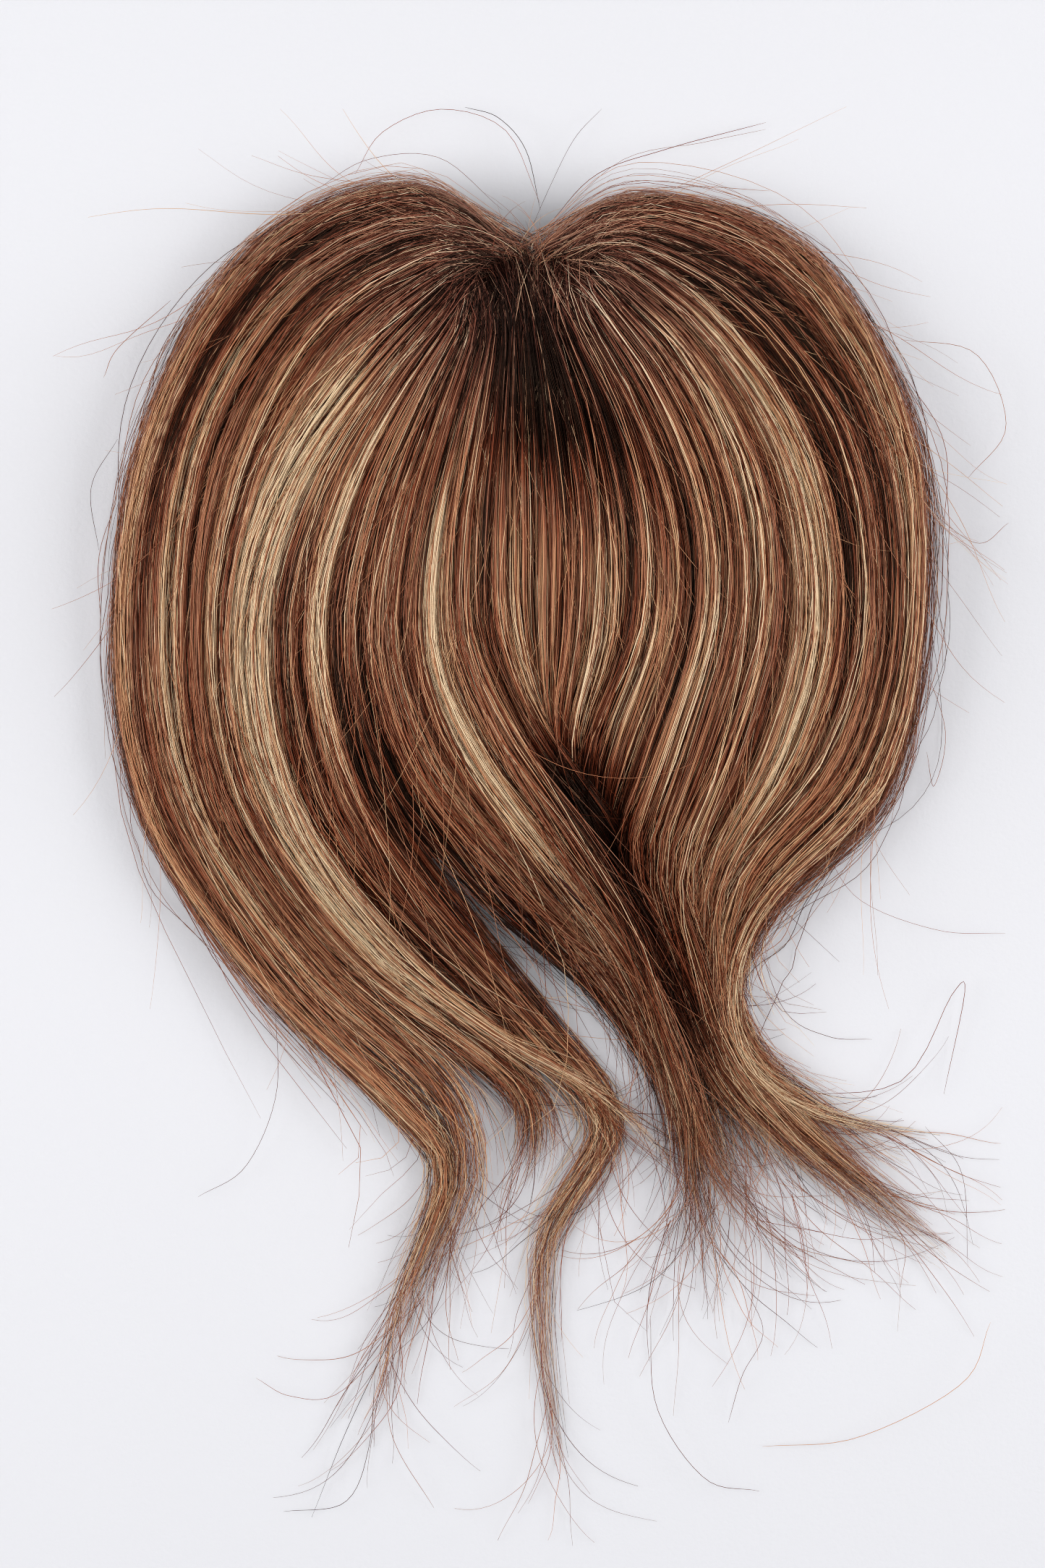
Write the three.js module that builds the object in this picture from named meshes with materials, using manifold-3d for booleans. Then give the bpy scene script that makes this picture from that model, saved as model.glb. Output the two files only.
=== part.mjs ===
// A hair topper lying on a table, with its parting towards +Y and its ends towards -Y.
// A domed base carries the hair. Three bodies of hair spring from the parting, arch over
// the base, draw together below it and run out in loose tails, the left body crossing over
// the others. Four snap clips are sewn inside the base. Sizes are in millimetres, and the
// origin is on the table under the middle of the whole.
import * as THREE from "three";
import { mergeVertices } from "three/addons/utils/BufferGeometryUtils.js";
import Module from "manifold-3d";

const wasm = await Module();
wasm.setup();

// The base: an elliptical dome of stiff net, open below, where the head goes in.
const BASE_WIDTH = 150;
const BASE_LENGTH = 170;
const BASE_RISE = 38;
const BASE_WALL = 1.6;
const BASE_SEGMENTS = 36;
const BASE_RINGS = 8;

// The hair seen from above: its half width, and the drop from the parting to the lowest tip.
const HAIR_HALF_WIDTH = 121;
const HAIR_DROP = 357;
// The mound of hair: its depth over the top of the base, its height at the roots and along
// its edge, and how far it reaches beyond the base in front and behind.
const CROWN_DEPTH = 15;
const ROOT_HEIGHT = 17;
const EDGE_HEIGHT = 11;
const FRONT_REACH = 24;
const BACK_REACH = 55;
// How far the crossing locks of the left body ride above the mound, and those of the
// centre body sink into it.
const CROSSING_RISE = 12;
const CENTRE_SINK = 7;

// A lock: its width at the roots, its width where it lies loose, and how far its rounded
// back falls at its sides. Neighbours overlap by a share of their spacing, the foot is a
// share of the width, and no lock is thinner than LEAST_HEIGHT.
const ROOT_LOCK_WIDTH = 8;
const TAIL_LOCK_WIDTH = 11;
const LOCK_ROUNDING = 5.5;
const LOCK_OVERLAP = 0.3;
const LOCK_STEPS = 24;
const LOCK_BACK_SIDES = 4;
const LOCK_FOOT_SHARE = 0.86;
const LEAST_HEIGHT = 1;

// The snap clips: drop-shaped plates with an opening, and how far up the dome they sit.
const CLIP_LENGTH = 32;
const CLIP_WIDE_END = 14;
const CLIP_NARROW_END = 8;
const CLIP_THICKNESS = 1.6;
const CLIP_FRAME = 3;
const CLIP_ELEVATION = 27;
const CLIP_ARC_STEPS = 5;

// The clearance between pieces that lie together.
const GAP = 0.35;

// The stations along a lock, with the share of its run at which each one lies.
const STATIONS = {
  root: 0, crest: 0.08, shoulder: 0.17, side: 0.27, belly: 0.37, hip: 0.47,
  waist: 0.57, gather: 0.67, tail: 0.77, curl: 0.89, tip: 1,
};
const stationNames = Object.keys(STATIONS);
const stationRuns = Object.values(STATIONS);

// The lines that the hair follows, from the left edge to the right edge. Each station is
// [share of HAIR_HALF_WIDTH to the right of the parting, share of HAIR_DROP below it].
const LINES = {
  left_edge: {
    root: [-0.01, 0], crest: [-0.29, -0.058], shoulder: [-0.665, -0.005], side: [-0.917, 0.142],
    belly: [-0.993, 0.312], hip: [-0.917, 0.46], waist: [-0.639, 0.595], gather: [-0.292, 0.704],
    tail: [-0.205, 0.755], curl: [-0.3, 0.85], tip: [-0.347, 0.942],
  },
  left_outer: {
    root: [-0.02, 0.001], crest: [-0.248, -0.02], shoulder: [-0.543, 0.03], side: [-0.76, 0.148],
    belly: [-0.83, 0.306], hip: [-0.769, 0.448], waist: [-0.517, 0.58], gather: [-0.214, 0.677],
    tail: [-0.145, 0.75], curl: [-0.225, 0.825], tip: [-0.285, 0.9],
  },
  left_band: {
    root: [-0.028, 0.002], crest: [-0.222, 0.004], shoulder: [-0.483, 0.059], side: [-0.665, 0.171],
    belly: [-0.743, 0.312], hip: [-0.682, 0.448], waist: [-0.431, 0.574], gather: [-0.135, 0.648],
    tail: [-0.01, 0.689], curl: [0, 0.73], tip: [-0.057, 0.774],
  },
  left_streak: {
    root: [-0.038, 0.004], crest: [-0.196, 0.036], shoulder: [-0.378, 0.101], side: [-0.569, 0.195],
    belly: [-0.665, 0.312], hip: [-0.595, 0.448], waist: [-0.361, 0.559], gather: [-0.083, 0.633],
    tail: [0.108, 0.671], curl: [0.247, 0.704], tip: [0.359, 0.745],
  },
  left_middle: {
    root: [-0.045, 0.005], crest: [-0.161, 0.051], shoulder: [-0.309, 0.124], side: [-0.431, 0.206],
    belly: [-0.5, 0.312], hip: [-0.439, 0.427], waist: [-0.24, 0.524], gather: [0.07, 0.624],
    tail: [0.226, 0.706], curl: [0.04, 0.821], tip: [0.083, 1],
  },
  left_inner: {
    root: [-0.049, 0.006], crest: [-0.127, 0.059], shoulder: [-0.222, 0.142], side: [-0.3, 0.23],
    belly: [-0.326, 0.324], hip: [-0.24, 0.424], waist: [-0.049, 0.512], gather: [0.212, 0.612],
    tail: [0.342, 0.689], curl: [0.359, 0.759], tip: [0.273, 0.821],
  },
  left_sweep: {
    root: [-0.043, 0.008], crest: [-0.092, 0.065], shoulder: [-0.161, 0.154], side: [-0.214, 0.242],
    belly: [-0.217, 0.33], hip: [-0.118, 0.412], waist: [0.09, 0.498], gather: [0.316, 0.577],
    tail: [0.446, 0.677], curl: [0.58, 0.77], tip: [0.82, 0.848],
  },
  left_last: {
    root: [-0.035, 0.009], crest: [-0.062, 0.068], shoulder: [-0.097, 0.154], side: [-0.127, 0.236],
    belly: [-0.118, 0.318], hip: [-0.014, 0.395], waist: [0.194, 0.471], gather: [0.377, 0.554],
    tail: [0.475, 0.66], curl: [0.64, 0.757], tip: [0.94, 0.842],
  },
  centre_left: {
    root: [-0.024, -0.002], crest: [-0.028, 0.065], shoulder: [-0.035, 0.148], side: [-0.038, 0.23],
    belly: [-0.028, 0.312], hip: [0.056, 0.389], waist: [0.229, 0.471], gather: [0.342, 0.559],
    tail: [0.403, 0.665], curl: [0.446, 0.736], tip: [0.411, 0.806],
  },
  centre_middle: {
    root: [0, -0.003], crest: [0.03, 0.068], shoulder: [0.073, 0.148], side: [0.099, 0.23],
    belly: [0.09, 0.312], hip: [0.11, 0.395], waist: [0.247, 0.477], gather: [0.359, 0.559],
    tail: [0.42, 0.665], curl: [0.5, 0.742], tip: [0.559, 0.806],
  },
  centre_right: {
    root: [0.026, -0.002], crest: [0.099, 0.065], shoulder: [0.194, 0.142], side: [0.25, 0.23],
    belly: [0.243, 0.318], hip: [0.2, 0.406], waist: [0.275, 0.483], gather: [0.377, 0.559],
    tail: [0.446, 0.659], curl: [0.585, 0.736], tip: [0.698, 0.806],
  },
  right_inner: {
    root: [0.038, 0.008], crest: [0.151, 0.056], shoulder: [0.273, 0.13], side: [0.359, 0.218],
    belly: [0.368, 0.306], hip: [0.29, 0.406], waist: [0.316, 0.495], gather: [0.403, 0.571],
    tail: [0.48, 0.654], curl: [0.67, 0.722], tip: [0.88, 0.783],
  },
  right_middle: {
    root: [0.05, 0.005], crest: [0.212, 0.036], shoulder: [0.385, 0.101], side: [0.507, 0.195],
    belly: [0.524, 0.301], hip: [0.438, 0.406], waist: [0.385, 0.501], gather: [0.429, 0.577],
    tail: [0.498, 0.657], curl: [0.69, 0.734], tip: [1.03, 0.824],
  },
  right_streak: {
    root: [0.056, 0.003], crest: [0.247, 0.012], shoulder: [0.455, 0.071], side: [0.646, 0.177],
    belly: [0.701, 0.301], hip: [0.62, 0.409], waist: [0.472, 0.501], gather: [0.451, 0.577],
    tail: [0.507, 0.65], curl: [0.71, 0.726], tip: [0.99, 0.795],
  },
  right_outer: {
    root: [0.05, 0], crest: [0.264, -0.011], shoulder: [0.559, 0.042], side: [0.785, 0.154],
    belly: [0.845, 0.301], hip: [0.75, 0.418], waist: [0.542, 0.501], gather: [0.477, 0.577],
    tail: [0.524, 0.648], curl: [0.715, 0.698], tip: [0.941, 0.748],
  },
  right_edge: {
    root: [0.012, 0], crest: [0.273, -0.048], shoulder: [0.663, -0.008], side: [0.915, 0.13],
    belly: [0.957, 0.289], hip: [0.863, 0.436], waist: [0.602, 0.524], gather: [0.503, 0.589],
    tail: [0.533, 0.659], curl: [0.715, 0.701], tip: [1.002, 0.721],
  },
};

// The three bodies of hair, the lowest first. Each one lies between the first and the last
// of its lines and is made of so many locks. From the share riseFrom of its lines on, its
// locks ride so far above the mound where the bodies cross.
const HAIR_BODIES = {
  hair_right: {
    lines: ["right_inner", "right_middle", "right_streak", "right_outer", "right_edge"],
    locks: 5, rise: 0, riseFrom: 0,
  },
  hair_centre: {
    lines: ["left_last", "centre_left", "centre_middle", "centre_right", "right_inner"],
    locks: 3, rise: -CENTRE_SINK, riseFrom: -1,
  },
  hair_left: {
    lines: ["left_edge", "left_outer", "left_band", "left_streak",
      "left_middle", "left_inner", "left_sweep", "left_last"],
    locks: 8, rise: CROSSING_RISE, riseFrom: 0.55,
  },
};

// How things change along a lock, each as a share: its height of the mound's, its crossing
// rise of the body's, its rounding of LOCK_ROUNDING, its free width of TAIL_LOCK_WIDTH or
// of the spacing, and how far it is drawn from its place in the row to the nearest line.
const ALONG = {
  height: {
    root: 1, crest: 1, shoulder: 1, side: 1, belly: 1, hip: 1,
    waist: 0.95, gather: 0.85, tail: 0.7, curl: 0.55, tip: 0.2,
  },
  crossing: {
    root: 0, crest: 0, shoulder: 0, side: 0, belly: 0.1, hip: 0.55,
    waist: 1, gather: 1, tail: 0.8, curl: 0.4, tip: 0.1,
  },
  rounding: {
    root: 0.5, crest: 0.9, shoulder: 1, side: 1, belly: 1, hip: 1,
    waist: 1, gather: 0.95, tail: 0.8, curl: 0.65, tip: 0.25,
  },
  width: {
    root: 0.7, crest: 1, shoulder: 1, side: 1, belly: 1, hip: 1,
    waist: 0.95, gather: 0.9, tail: 0.85, curl: 0.7, tip: 0.2,
  },
  draw: {
    root: 0, crest: 0, shoulder: 0, side: 0, belly: 0, hip: 0.1,
    waist: 0.35, gather: 0.7, tail: 1, curl: 1, tip: 1,
  },
};

const baseCentre = new THREE.Vector3(0, -BASE_LENGTH / 2, 0);

// The station before the share t of a run, and the share of the way to the next one.
function stationAt(t) {
  let index = 0;
  while (index < stationRuns.length - 2 && t > stationRuns[index + 1]) index += 1;
  const share = (t - stationRuns[index]) / (stationRuns[index + 1] - stationRuns[index]);
  return { index, share };
}

// A value of a table of stations at the share t of the run, eased from station to station.
function alongRun(table, t) {
  const { index, share } = stationAt(t);
  const [from, to] = [table[stationNames[index]], table[stationNames[index + 1]]];
  return from + (to - from) * share * share * (3 - 2 * share);
}

// The curve of one line through its stations, seen from above.
function lineCurve(line) {
  const points = stationNames.map((name) => {
    const [across, down] = line[name];
    return new THREE.Vector3(across * HAIR_HALF_WIDTH, -down * HAIR_DROP, 0);
  });
  return new THREE.CatmullRomCurve3(points, false, "catmullrom", 0.5);
}

// The point of a line's curve at the share t of the run.
function onCurve(curve, t) {
  const { index, share } = stationAt(t);
  return curve.getPoint((index + share) / (stationRuns.length - 1));
}

// The height of the mound of hair at a place: highest over the base, level outside.
function moundHeight(x, y) {
  const ahead = y - baseCentre.y;
  const reach = BASE_LENGTH / 2 + (ahead > 0 ? FRONT_REACH : BACK_REACH);
  const out = Math.min(1, Math.hypot(x / HAIR_HALF_WIDTH, ahead / reach));
  return EDGE_HEIGHT + (BASE_RISE + CROWN_DEPTH - EDGE_HEIGHT) * (1 - out * out);
}

// The place of a body's row of hair at the share s from its first line to its last one.
function rowPoint(curves, s, t) {
  const place = Math.min(1, Math.max(0, s)) * (curves.length - 1);
  const drawn = place + (Math.round(place) - place) * alongRun(ALONG.draw, t);
  const index = Math.min(curves.length - 2, Math.floor(drawn));
  return onCurve(curves[index], t).lerp(onCurve(curves[index + 1], t), drawn - index);
}

// The width of a lock: its share of the row where the row is close, its own at the tails.
function lockWidth(body, curves, s, t) {
  const reach = 0.5 / body.locks;
  const spacing = rowPoint(curves, s - reach, t).distanceTo(rowPoint(curves, s + reach, t));
  const drawn = alongRun(ALONG.draw, t);
  const width = spacing * (1 + LOCK_OVERLAP) * (1 - drawn) + TAIL_LOCK_WIDTH * drawn;
  return Math.max(width, ROOT_LOCK_WIDTH) * alongRun(ALONG.width, t);
}

// The height of a body's hair over a place at the share t of the run, without its rounding.
function hairHeight(body, s, t, place) {
  const rooted = Math.min(1, t / STATIONS.shoulder);
  const mound = moundHeight(place.x, place.y) * alongRun(ALONG.height, t);
  const ridden = Math.min(1, Math.max(0, (s - body.riseFrom) / (1 - body.riseFrom)));
  const lift = body.rise * ridden * alongRun(ALONG.crossing, t);
  return ROOT_HEIGHT + (mound - ROOT_HEIGHT) * rooted * (2 - rooted) + lift;
}

// One section of a lock, as a ring of points: a rounded back that follows the mound, and a
// foot on the table. It is grown all round by so much.
function lockSection(body, curves, s, t, grow) {
  const step = 0.5 / LOCK_STEPS;
  const before = rowPoint(curves, s, Math.max(0, t - step));
  const after = rowPoint(curves, s, Math.min(1, t + step));
  const along = after.sub(before);
  const across = new THREE.Vector3(along.y, -along.x, 0).normalize();
  const centre = rowPoint(curves, s, t);
  const half = lockWidth(body, curves, s, t) / 2 + grow;
  const rounding = LOCK_ROUNDING * alongRun(ALONG.rounding, t);
  const ring = [];
  for (let k = 0; k <= LOCK_BACK_SIDES; k += 1) {
    const angle = (Math.PI * k) / LOCK_BACK_SIDES;
    const point = centre.clone().addScaledVector(across, Math.cos(angle) * half);
    const height = hairHeight(body, s, t, point) - rounding * (1 - Math.sin(angle));
    ring.push(point.setZ(Math.max(LEAST_HEIGHT, height) + grow));
  }
  for (const side of [-1, 1]) {
    ring.push(centre.clone().addScaledVector(across, side * half * LOCK_FOOT_SHARE).setZ(-grow));
  }
  return ring;
}

// A closed geometry as a solid.
function solidOf(source) {
  const geometry = source.clone();
  geometry.deleteAttribute("normal");
  geometry.deleteAttribute("uv");
  const merged = mergeVertices(geometry);
  return new wasm.Manifold(new wasm.Mesh({
    numProp: 3,
    vertProperties: new Float32Array(merged.attributes.position.array),
    triVerts: new Uint32Array(merged.index.array),
  }));
}

// A solid through a row of rings of points, closed at both ends.
function loftSolid(rings) {
  const sides = rings[0].length;
  const last = (rings.length - 1) * sides;
  const faces = [];
  for (let start = 0; start < last; start += sides) {
    for (let k = 0; k < sides; k += 1) {
      const next = (k + 1) % sides;
      faces.push(start + k, start + sides + next, start + next);
      faces.push(start + k, start + sides + k, start + sides + next);
    }
  }
  for (let k = 1; k < sides - 1; k += 1) {
    faces.push(0, k, k + 1);
    faces.push(last, last + k + 1, last + k);
  }
  const geometry = new THREE.BufferGeometry().setFromPoints(rings.flat());
  geometry.setIndex(faces);
  return solidOf(geometry);
}

// One lock, from its root to its tip.
function lockSolid(body, curves, s, grow) {
  const rings = [];
  for (let i = 0; i <= LOCK_STEPS; i += 1) {
    rings.push(lockSection(body, curves, s, i / LOCK_STEPS, grow));
  }
  return loftSolid(rings);
}

// All locks of one body of hair, joined, and grown all round by so much.
function hairSolid(body, grow) {
  const curves = body.lines.map((name) => lineCurve(LINES[name]));
  let joined = null;
  for (let i = 0; i < body.locks; i += 1) {
    const lock = lockSolid(body, curves, (i + 0.5) / body.locks, grow);
    joined = joined ? joined.add(lock) : lock;
  }
  return joined;
}

// A dome over the base's middle with a straight foot that reaches below the table.
function domeSolid(halfWidth, halfLength, rise, foot) {
  const profile = [new THREE.Vector2(0, -foot / rise)];
  if (foot > 0) profile.push(new THREE.Vector2(1, -foot / rise));
  for (let ring = 0; ring < BASE_RINGS; ring += 1) {
    const angle = (Math.PI / 2) * (ring / BASE_RINGS);
    profile.push(new THREE.Vector2(Math.cos(angle), Math.sin(angle)));
  }
  profile.push(new THREE.Vector2(0, 1));
  const lathe = new THREE.LatheGeometry(profile, BASE_SEGMENTS);
  lathe.rotateX(Math.PI / 2);
  lathe.scale(halfWidth, halfLength, rise);
  lathe.translate(baseCentre.x, baseCentre.y, baseCentre.z);
  return solidOf(lathe);
}

// The dome of the base's outer face, grown outwards by so much.
function baseDome(grow, foot) {
  return domeSolid(BASE_WIDTH / 2 + grow, BASE_LENGTH / 2 + grow, BASE_RISE + grow, foot);
}

// A named mesh of a solid.
function meshOf(name, solid, material) {
  const made = solid.getMesh();
  const geometry = new THREE.BufferGeometry();
  geometry.setAttribute("position", new THREE.BufferAttribute(made.vertProperties, 3));
  geometry.setIndex(new THREE.BufferAttribute(made.triVerts, 1));
  const mesh = new THREE.Mesh(geometry, material);
  mesh.name = name;
  return mesh;
}

const hairMaterial = new THREE.MeshStandardMaterial({ color: 0x6e4630, roughness: 0.45, metalness: 0 });
const netMaterial = new THREE.MeshStandardMaterial({ color: 0x4a3226, roughness: 0.85, metalness: 0 });
const clipMaterial = new THREE.MeshStandardMaterial({ color: 0x3a2a22, roughness: 0.35, metalness: 0.8 });

// The base, a dome of even wall.
function base() {
  return meshOf("base", baseDome(0, 0).subtract(baseDome(-BASE_WALL, BASE_WALL)), netMaterial);
}

// The bodies of hair, each clear of the base and of the bodies below it.
function hairBodies() {
  let taken = baseDome(GAP, GAP);
  return Object.entries(HAIR_BODIES).map(([name, body]) => {
    const solid = hairSolid(body, 0).subtract(taken);
    taken = taken.add(hairSolid(body, GAP));
    return meshOf(name, solid, hairMaterial);
  });
}

// The outline of a clip with round ends, drawn in by so much.
function clipOutline(inset) {
  const wide = CLIP_WIDE_END / 2;
  const narrow = CLIP_NARROW_END / 2;
  const outline = new THREE.Path();
  outline.absarc(wide - CLIP_LENGTH / 2, 0, wide - inset, Math.PI / 2, (3 * Math.PI) / 2, false);
  outline.absarc(CLIP_LENGTH / 2 - narrow, 0, narrow - inset, -Math.PI / 2, Math.PI / 2, false);
  return outline.getPoints(CLIP_ARC_STEPS);
}

// The flat plate of a clip, its outer face at z = 0 and its inner face below.
function clipGeometry() {
  const shape = new THREE.Shape(clipOutline(0));
  shape.holes.push(new THREE.Path(clipOutline(CLIP_FRAME)));
  const plate = new THREE.ExtrudeGeometry(shape, { depth: CLIP_THICKNESS, bevelEnabled: false });
  return plate.translate(0, 0, -CLIP_THICKNESS);
}

// A clip under the dome, turned by an angle about the dome's axis. It lies along the rim,
// square to the dome, and just deep enough to be clear of the dome's inner faces.
function clip(name, degrees) {
  const room = baseDome(-BASE_WALL - GAP, BASE_LENGTH);
  const inner = new THREE.Vector3(BASE_WIDTH / 2, BASE_LENGTH / 2, BASE_RISE).subScalar(BASE_WALL);
  const turn = THREE.MathUtils.degToRad(degrees);
  const rise = THREE.MathUtils.degToRad(CLIP_ELEVATION);
  const level = Math.cos(rise);
  const unit = new THREE.Vector3(Math.cos(turn) * level, Math.sin(turn) * level, Math.sin(rise));
  const outward = unit.clone().divide(inner).normalize();
  const along = new THREE.Vector3(-Math.sin(turn), Math.cos(turn), 0);
  const basis = new THREE.Matrix4().makeBasis(along, outward.clone().cross(along), outward);
  const seat = unit.multiply(inner).add(baseCentre);
  const plate = clipGeometry();
  const placed = (depth) => basis.clone().setPosition(seat.clone().addScaledVector(outward, -depth));
  let tooNear = 0;
  let clear = BASE_RISE;
  while (clear - tooNear > GAP / 100) {
    const depth = (tooNear + clear) / 2;
    if (solidOf(plate.clone().applyMatrix4(placed(depth))).subtract(room).isEmpty()) clear = depth;
    else tooNear = depth;
  }
  const mesh = new THREE.Mesh(plate, clipMaterial);
  mesh.name = name;
  mesh.applyMatrix4(placed(clear));
  return mesh;
}

const group = new THREE.Group();
group.add(base(), ...hairBodies());
const CLIP_TURNS = { clip_right: 0, clip_front: 90, clip_left: 180, clip_back: 270 };
for (const [name, degrees] of Object.entries(CLIP_TURNS)) group.add(clip(name, degrees));

// The origin goes on the table, under the middle of the whole.
const whole = new THREE.Box3().setFromObject(group);
const middle = whole.getCenter(new THREE.Vector3());
group.position.set(-middle.x, -middle.y, -whole.min.z);

export default group;
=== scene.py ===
"""A hair topper lying on a pale table, seen from straight above.

Its hair springs from a parting at the top, arches over a domed net base, draws together
below it and runs out in loose tails. The hair is made of closed strands that follow the
same lines as the solids they stand for, over an opaque bed of hair."""

import math

import bpy
import numpy as np
from bpy.props import FloatProperty, FloatVectorProperty, IntProperty, PointerProperty
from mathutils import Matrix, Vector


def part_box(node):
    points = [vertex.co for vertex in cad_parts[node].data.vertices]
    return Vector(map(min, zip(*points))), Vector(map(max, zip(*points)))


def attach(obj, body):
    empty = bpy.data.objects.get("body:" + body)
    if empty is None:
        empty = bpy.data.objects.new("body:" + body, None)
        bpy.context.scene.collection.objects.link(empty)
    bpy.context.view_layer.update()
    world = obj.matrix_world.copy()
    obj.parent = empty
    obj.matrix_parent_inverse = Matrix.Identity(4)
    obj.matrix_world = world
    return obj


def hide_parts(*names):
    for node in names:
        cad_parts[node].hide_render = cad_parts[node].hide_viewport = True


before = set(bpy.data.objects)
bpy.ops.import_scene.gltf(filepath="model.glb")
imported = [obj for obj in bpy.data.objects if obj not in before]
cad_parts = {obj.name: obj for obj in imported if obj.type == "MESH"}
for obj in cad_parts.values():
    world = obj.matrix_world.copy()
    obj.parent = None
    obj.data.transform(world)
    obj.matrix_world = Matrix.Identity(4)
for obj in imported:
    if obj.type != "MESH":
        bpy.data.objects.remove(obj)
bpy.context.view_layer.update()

bl_info = {
    "name": "Hair topper",
    "version": (1, 0, 0),
    "blender": (4, 5, 0),
    "location": "View3D > Sidebar > Hair topper",
    "description": "Builds the strands, the bed of hair, the base's net and the stage",
    "category": "Object",
}

MM = 0.001
BASE_LOW, BASE_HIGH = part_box("base")

# The base's dome in millimetres, and the parting, which is over its front rim.
BASE_HALF_WIDTH = (BASE_HIGH.x - BASE_LOW.x) / 2 / MM
BASE_HALF_LENGTH = (BASE_HIGH.y - BASE_LOW.y) / 2 / MM
BASE_RISE = BASE_HIGH.z / MM
PARTING = np.array([(BASE_LOW.x + BASE_HIGH.x) / 2 / MM, BASE_HIGH.y / MM, 0.0])

# How wide a body's row of lines is where it is widest, so that a sway becomes a share of it.
ROW_WIDTH = 110.0

# The hair seen from above and the mound that it makes, as in the solids, in millimetres.
HAIR_HALF_WIDTH = 121.0
HAIR_DROP = 357.0
CROWN_DEPTH = 15.0
ROOT_HEIGHT = 17.0
EDGE_HEIGHT = 11.0
FRONT_REACH = 24.0
BACK_REACH = 55.0
CROSSING_RISE = 12.0
CENTRE_SINK = 7.0
LOCK_ROUNDING = 5.5
LOCK_OVERLAP = 0.3

# Stations along a strand, as shares of its run: root, crest, shoulder, side, belly, hip,
# waist, gather, tail, curl and tip.
STATIONS = np.array([0, 0.08, 0.17, 0.27, 0.37, 0.47, 0.57, 0.67, 0.77, 0.89, 1.0])
SHOULDER = STATIONS[2]

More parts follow.
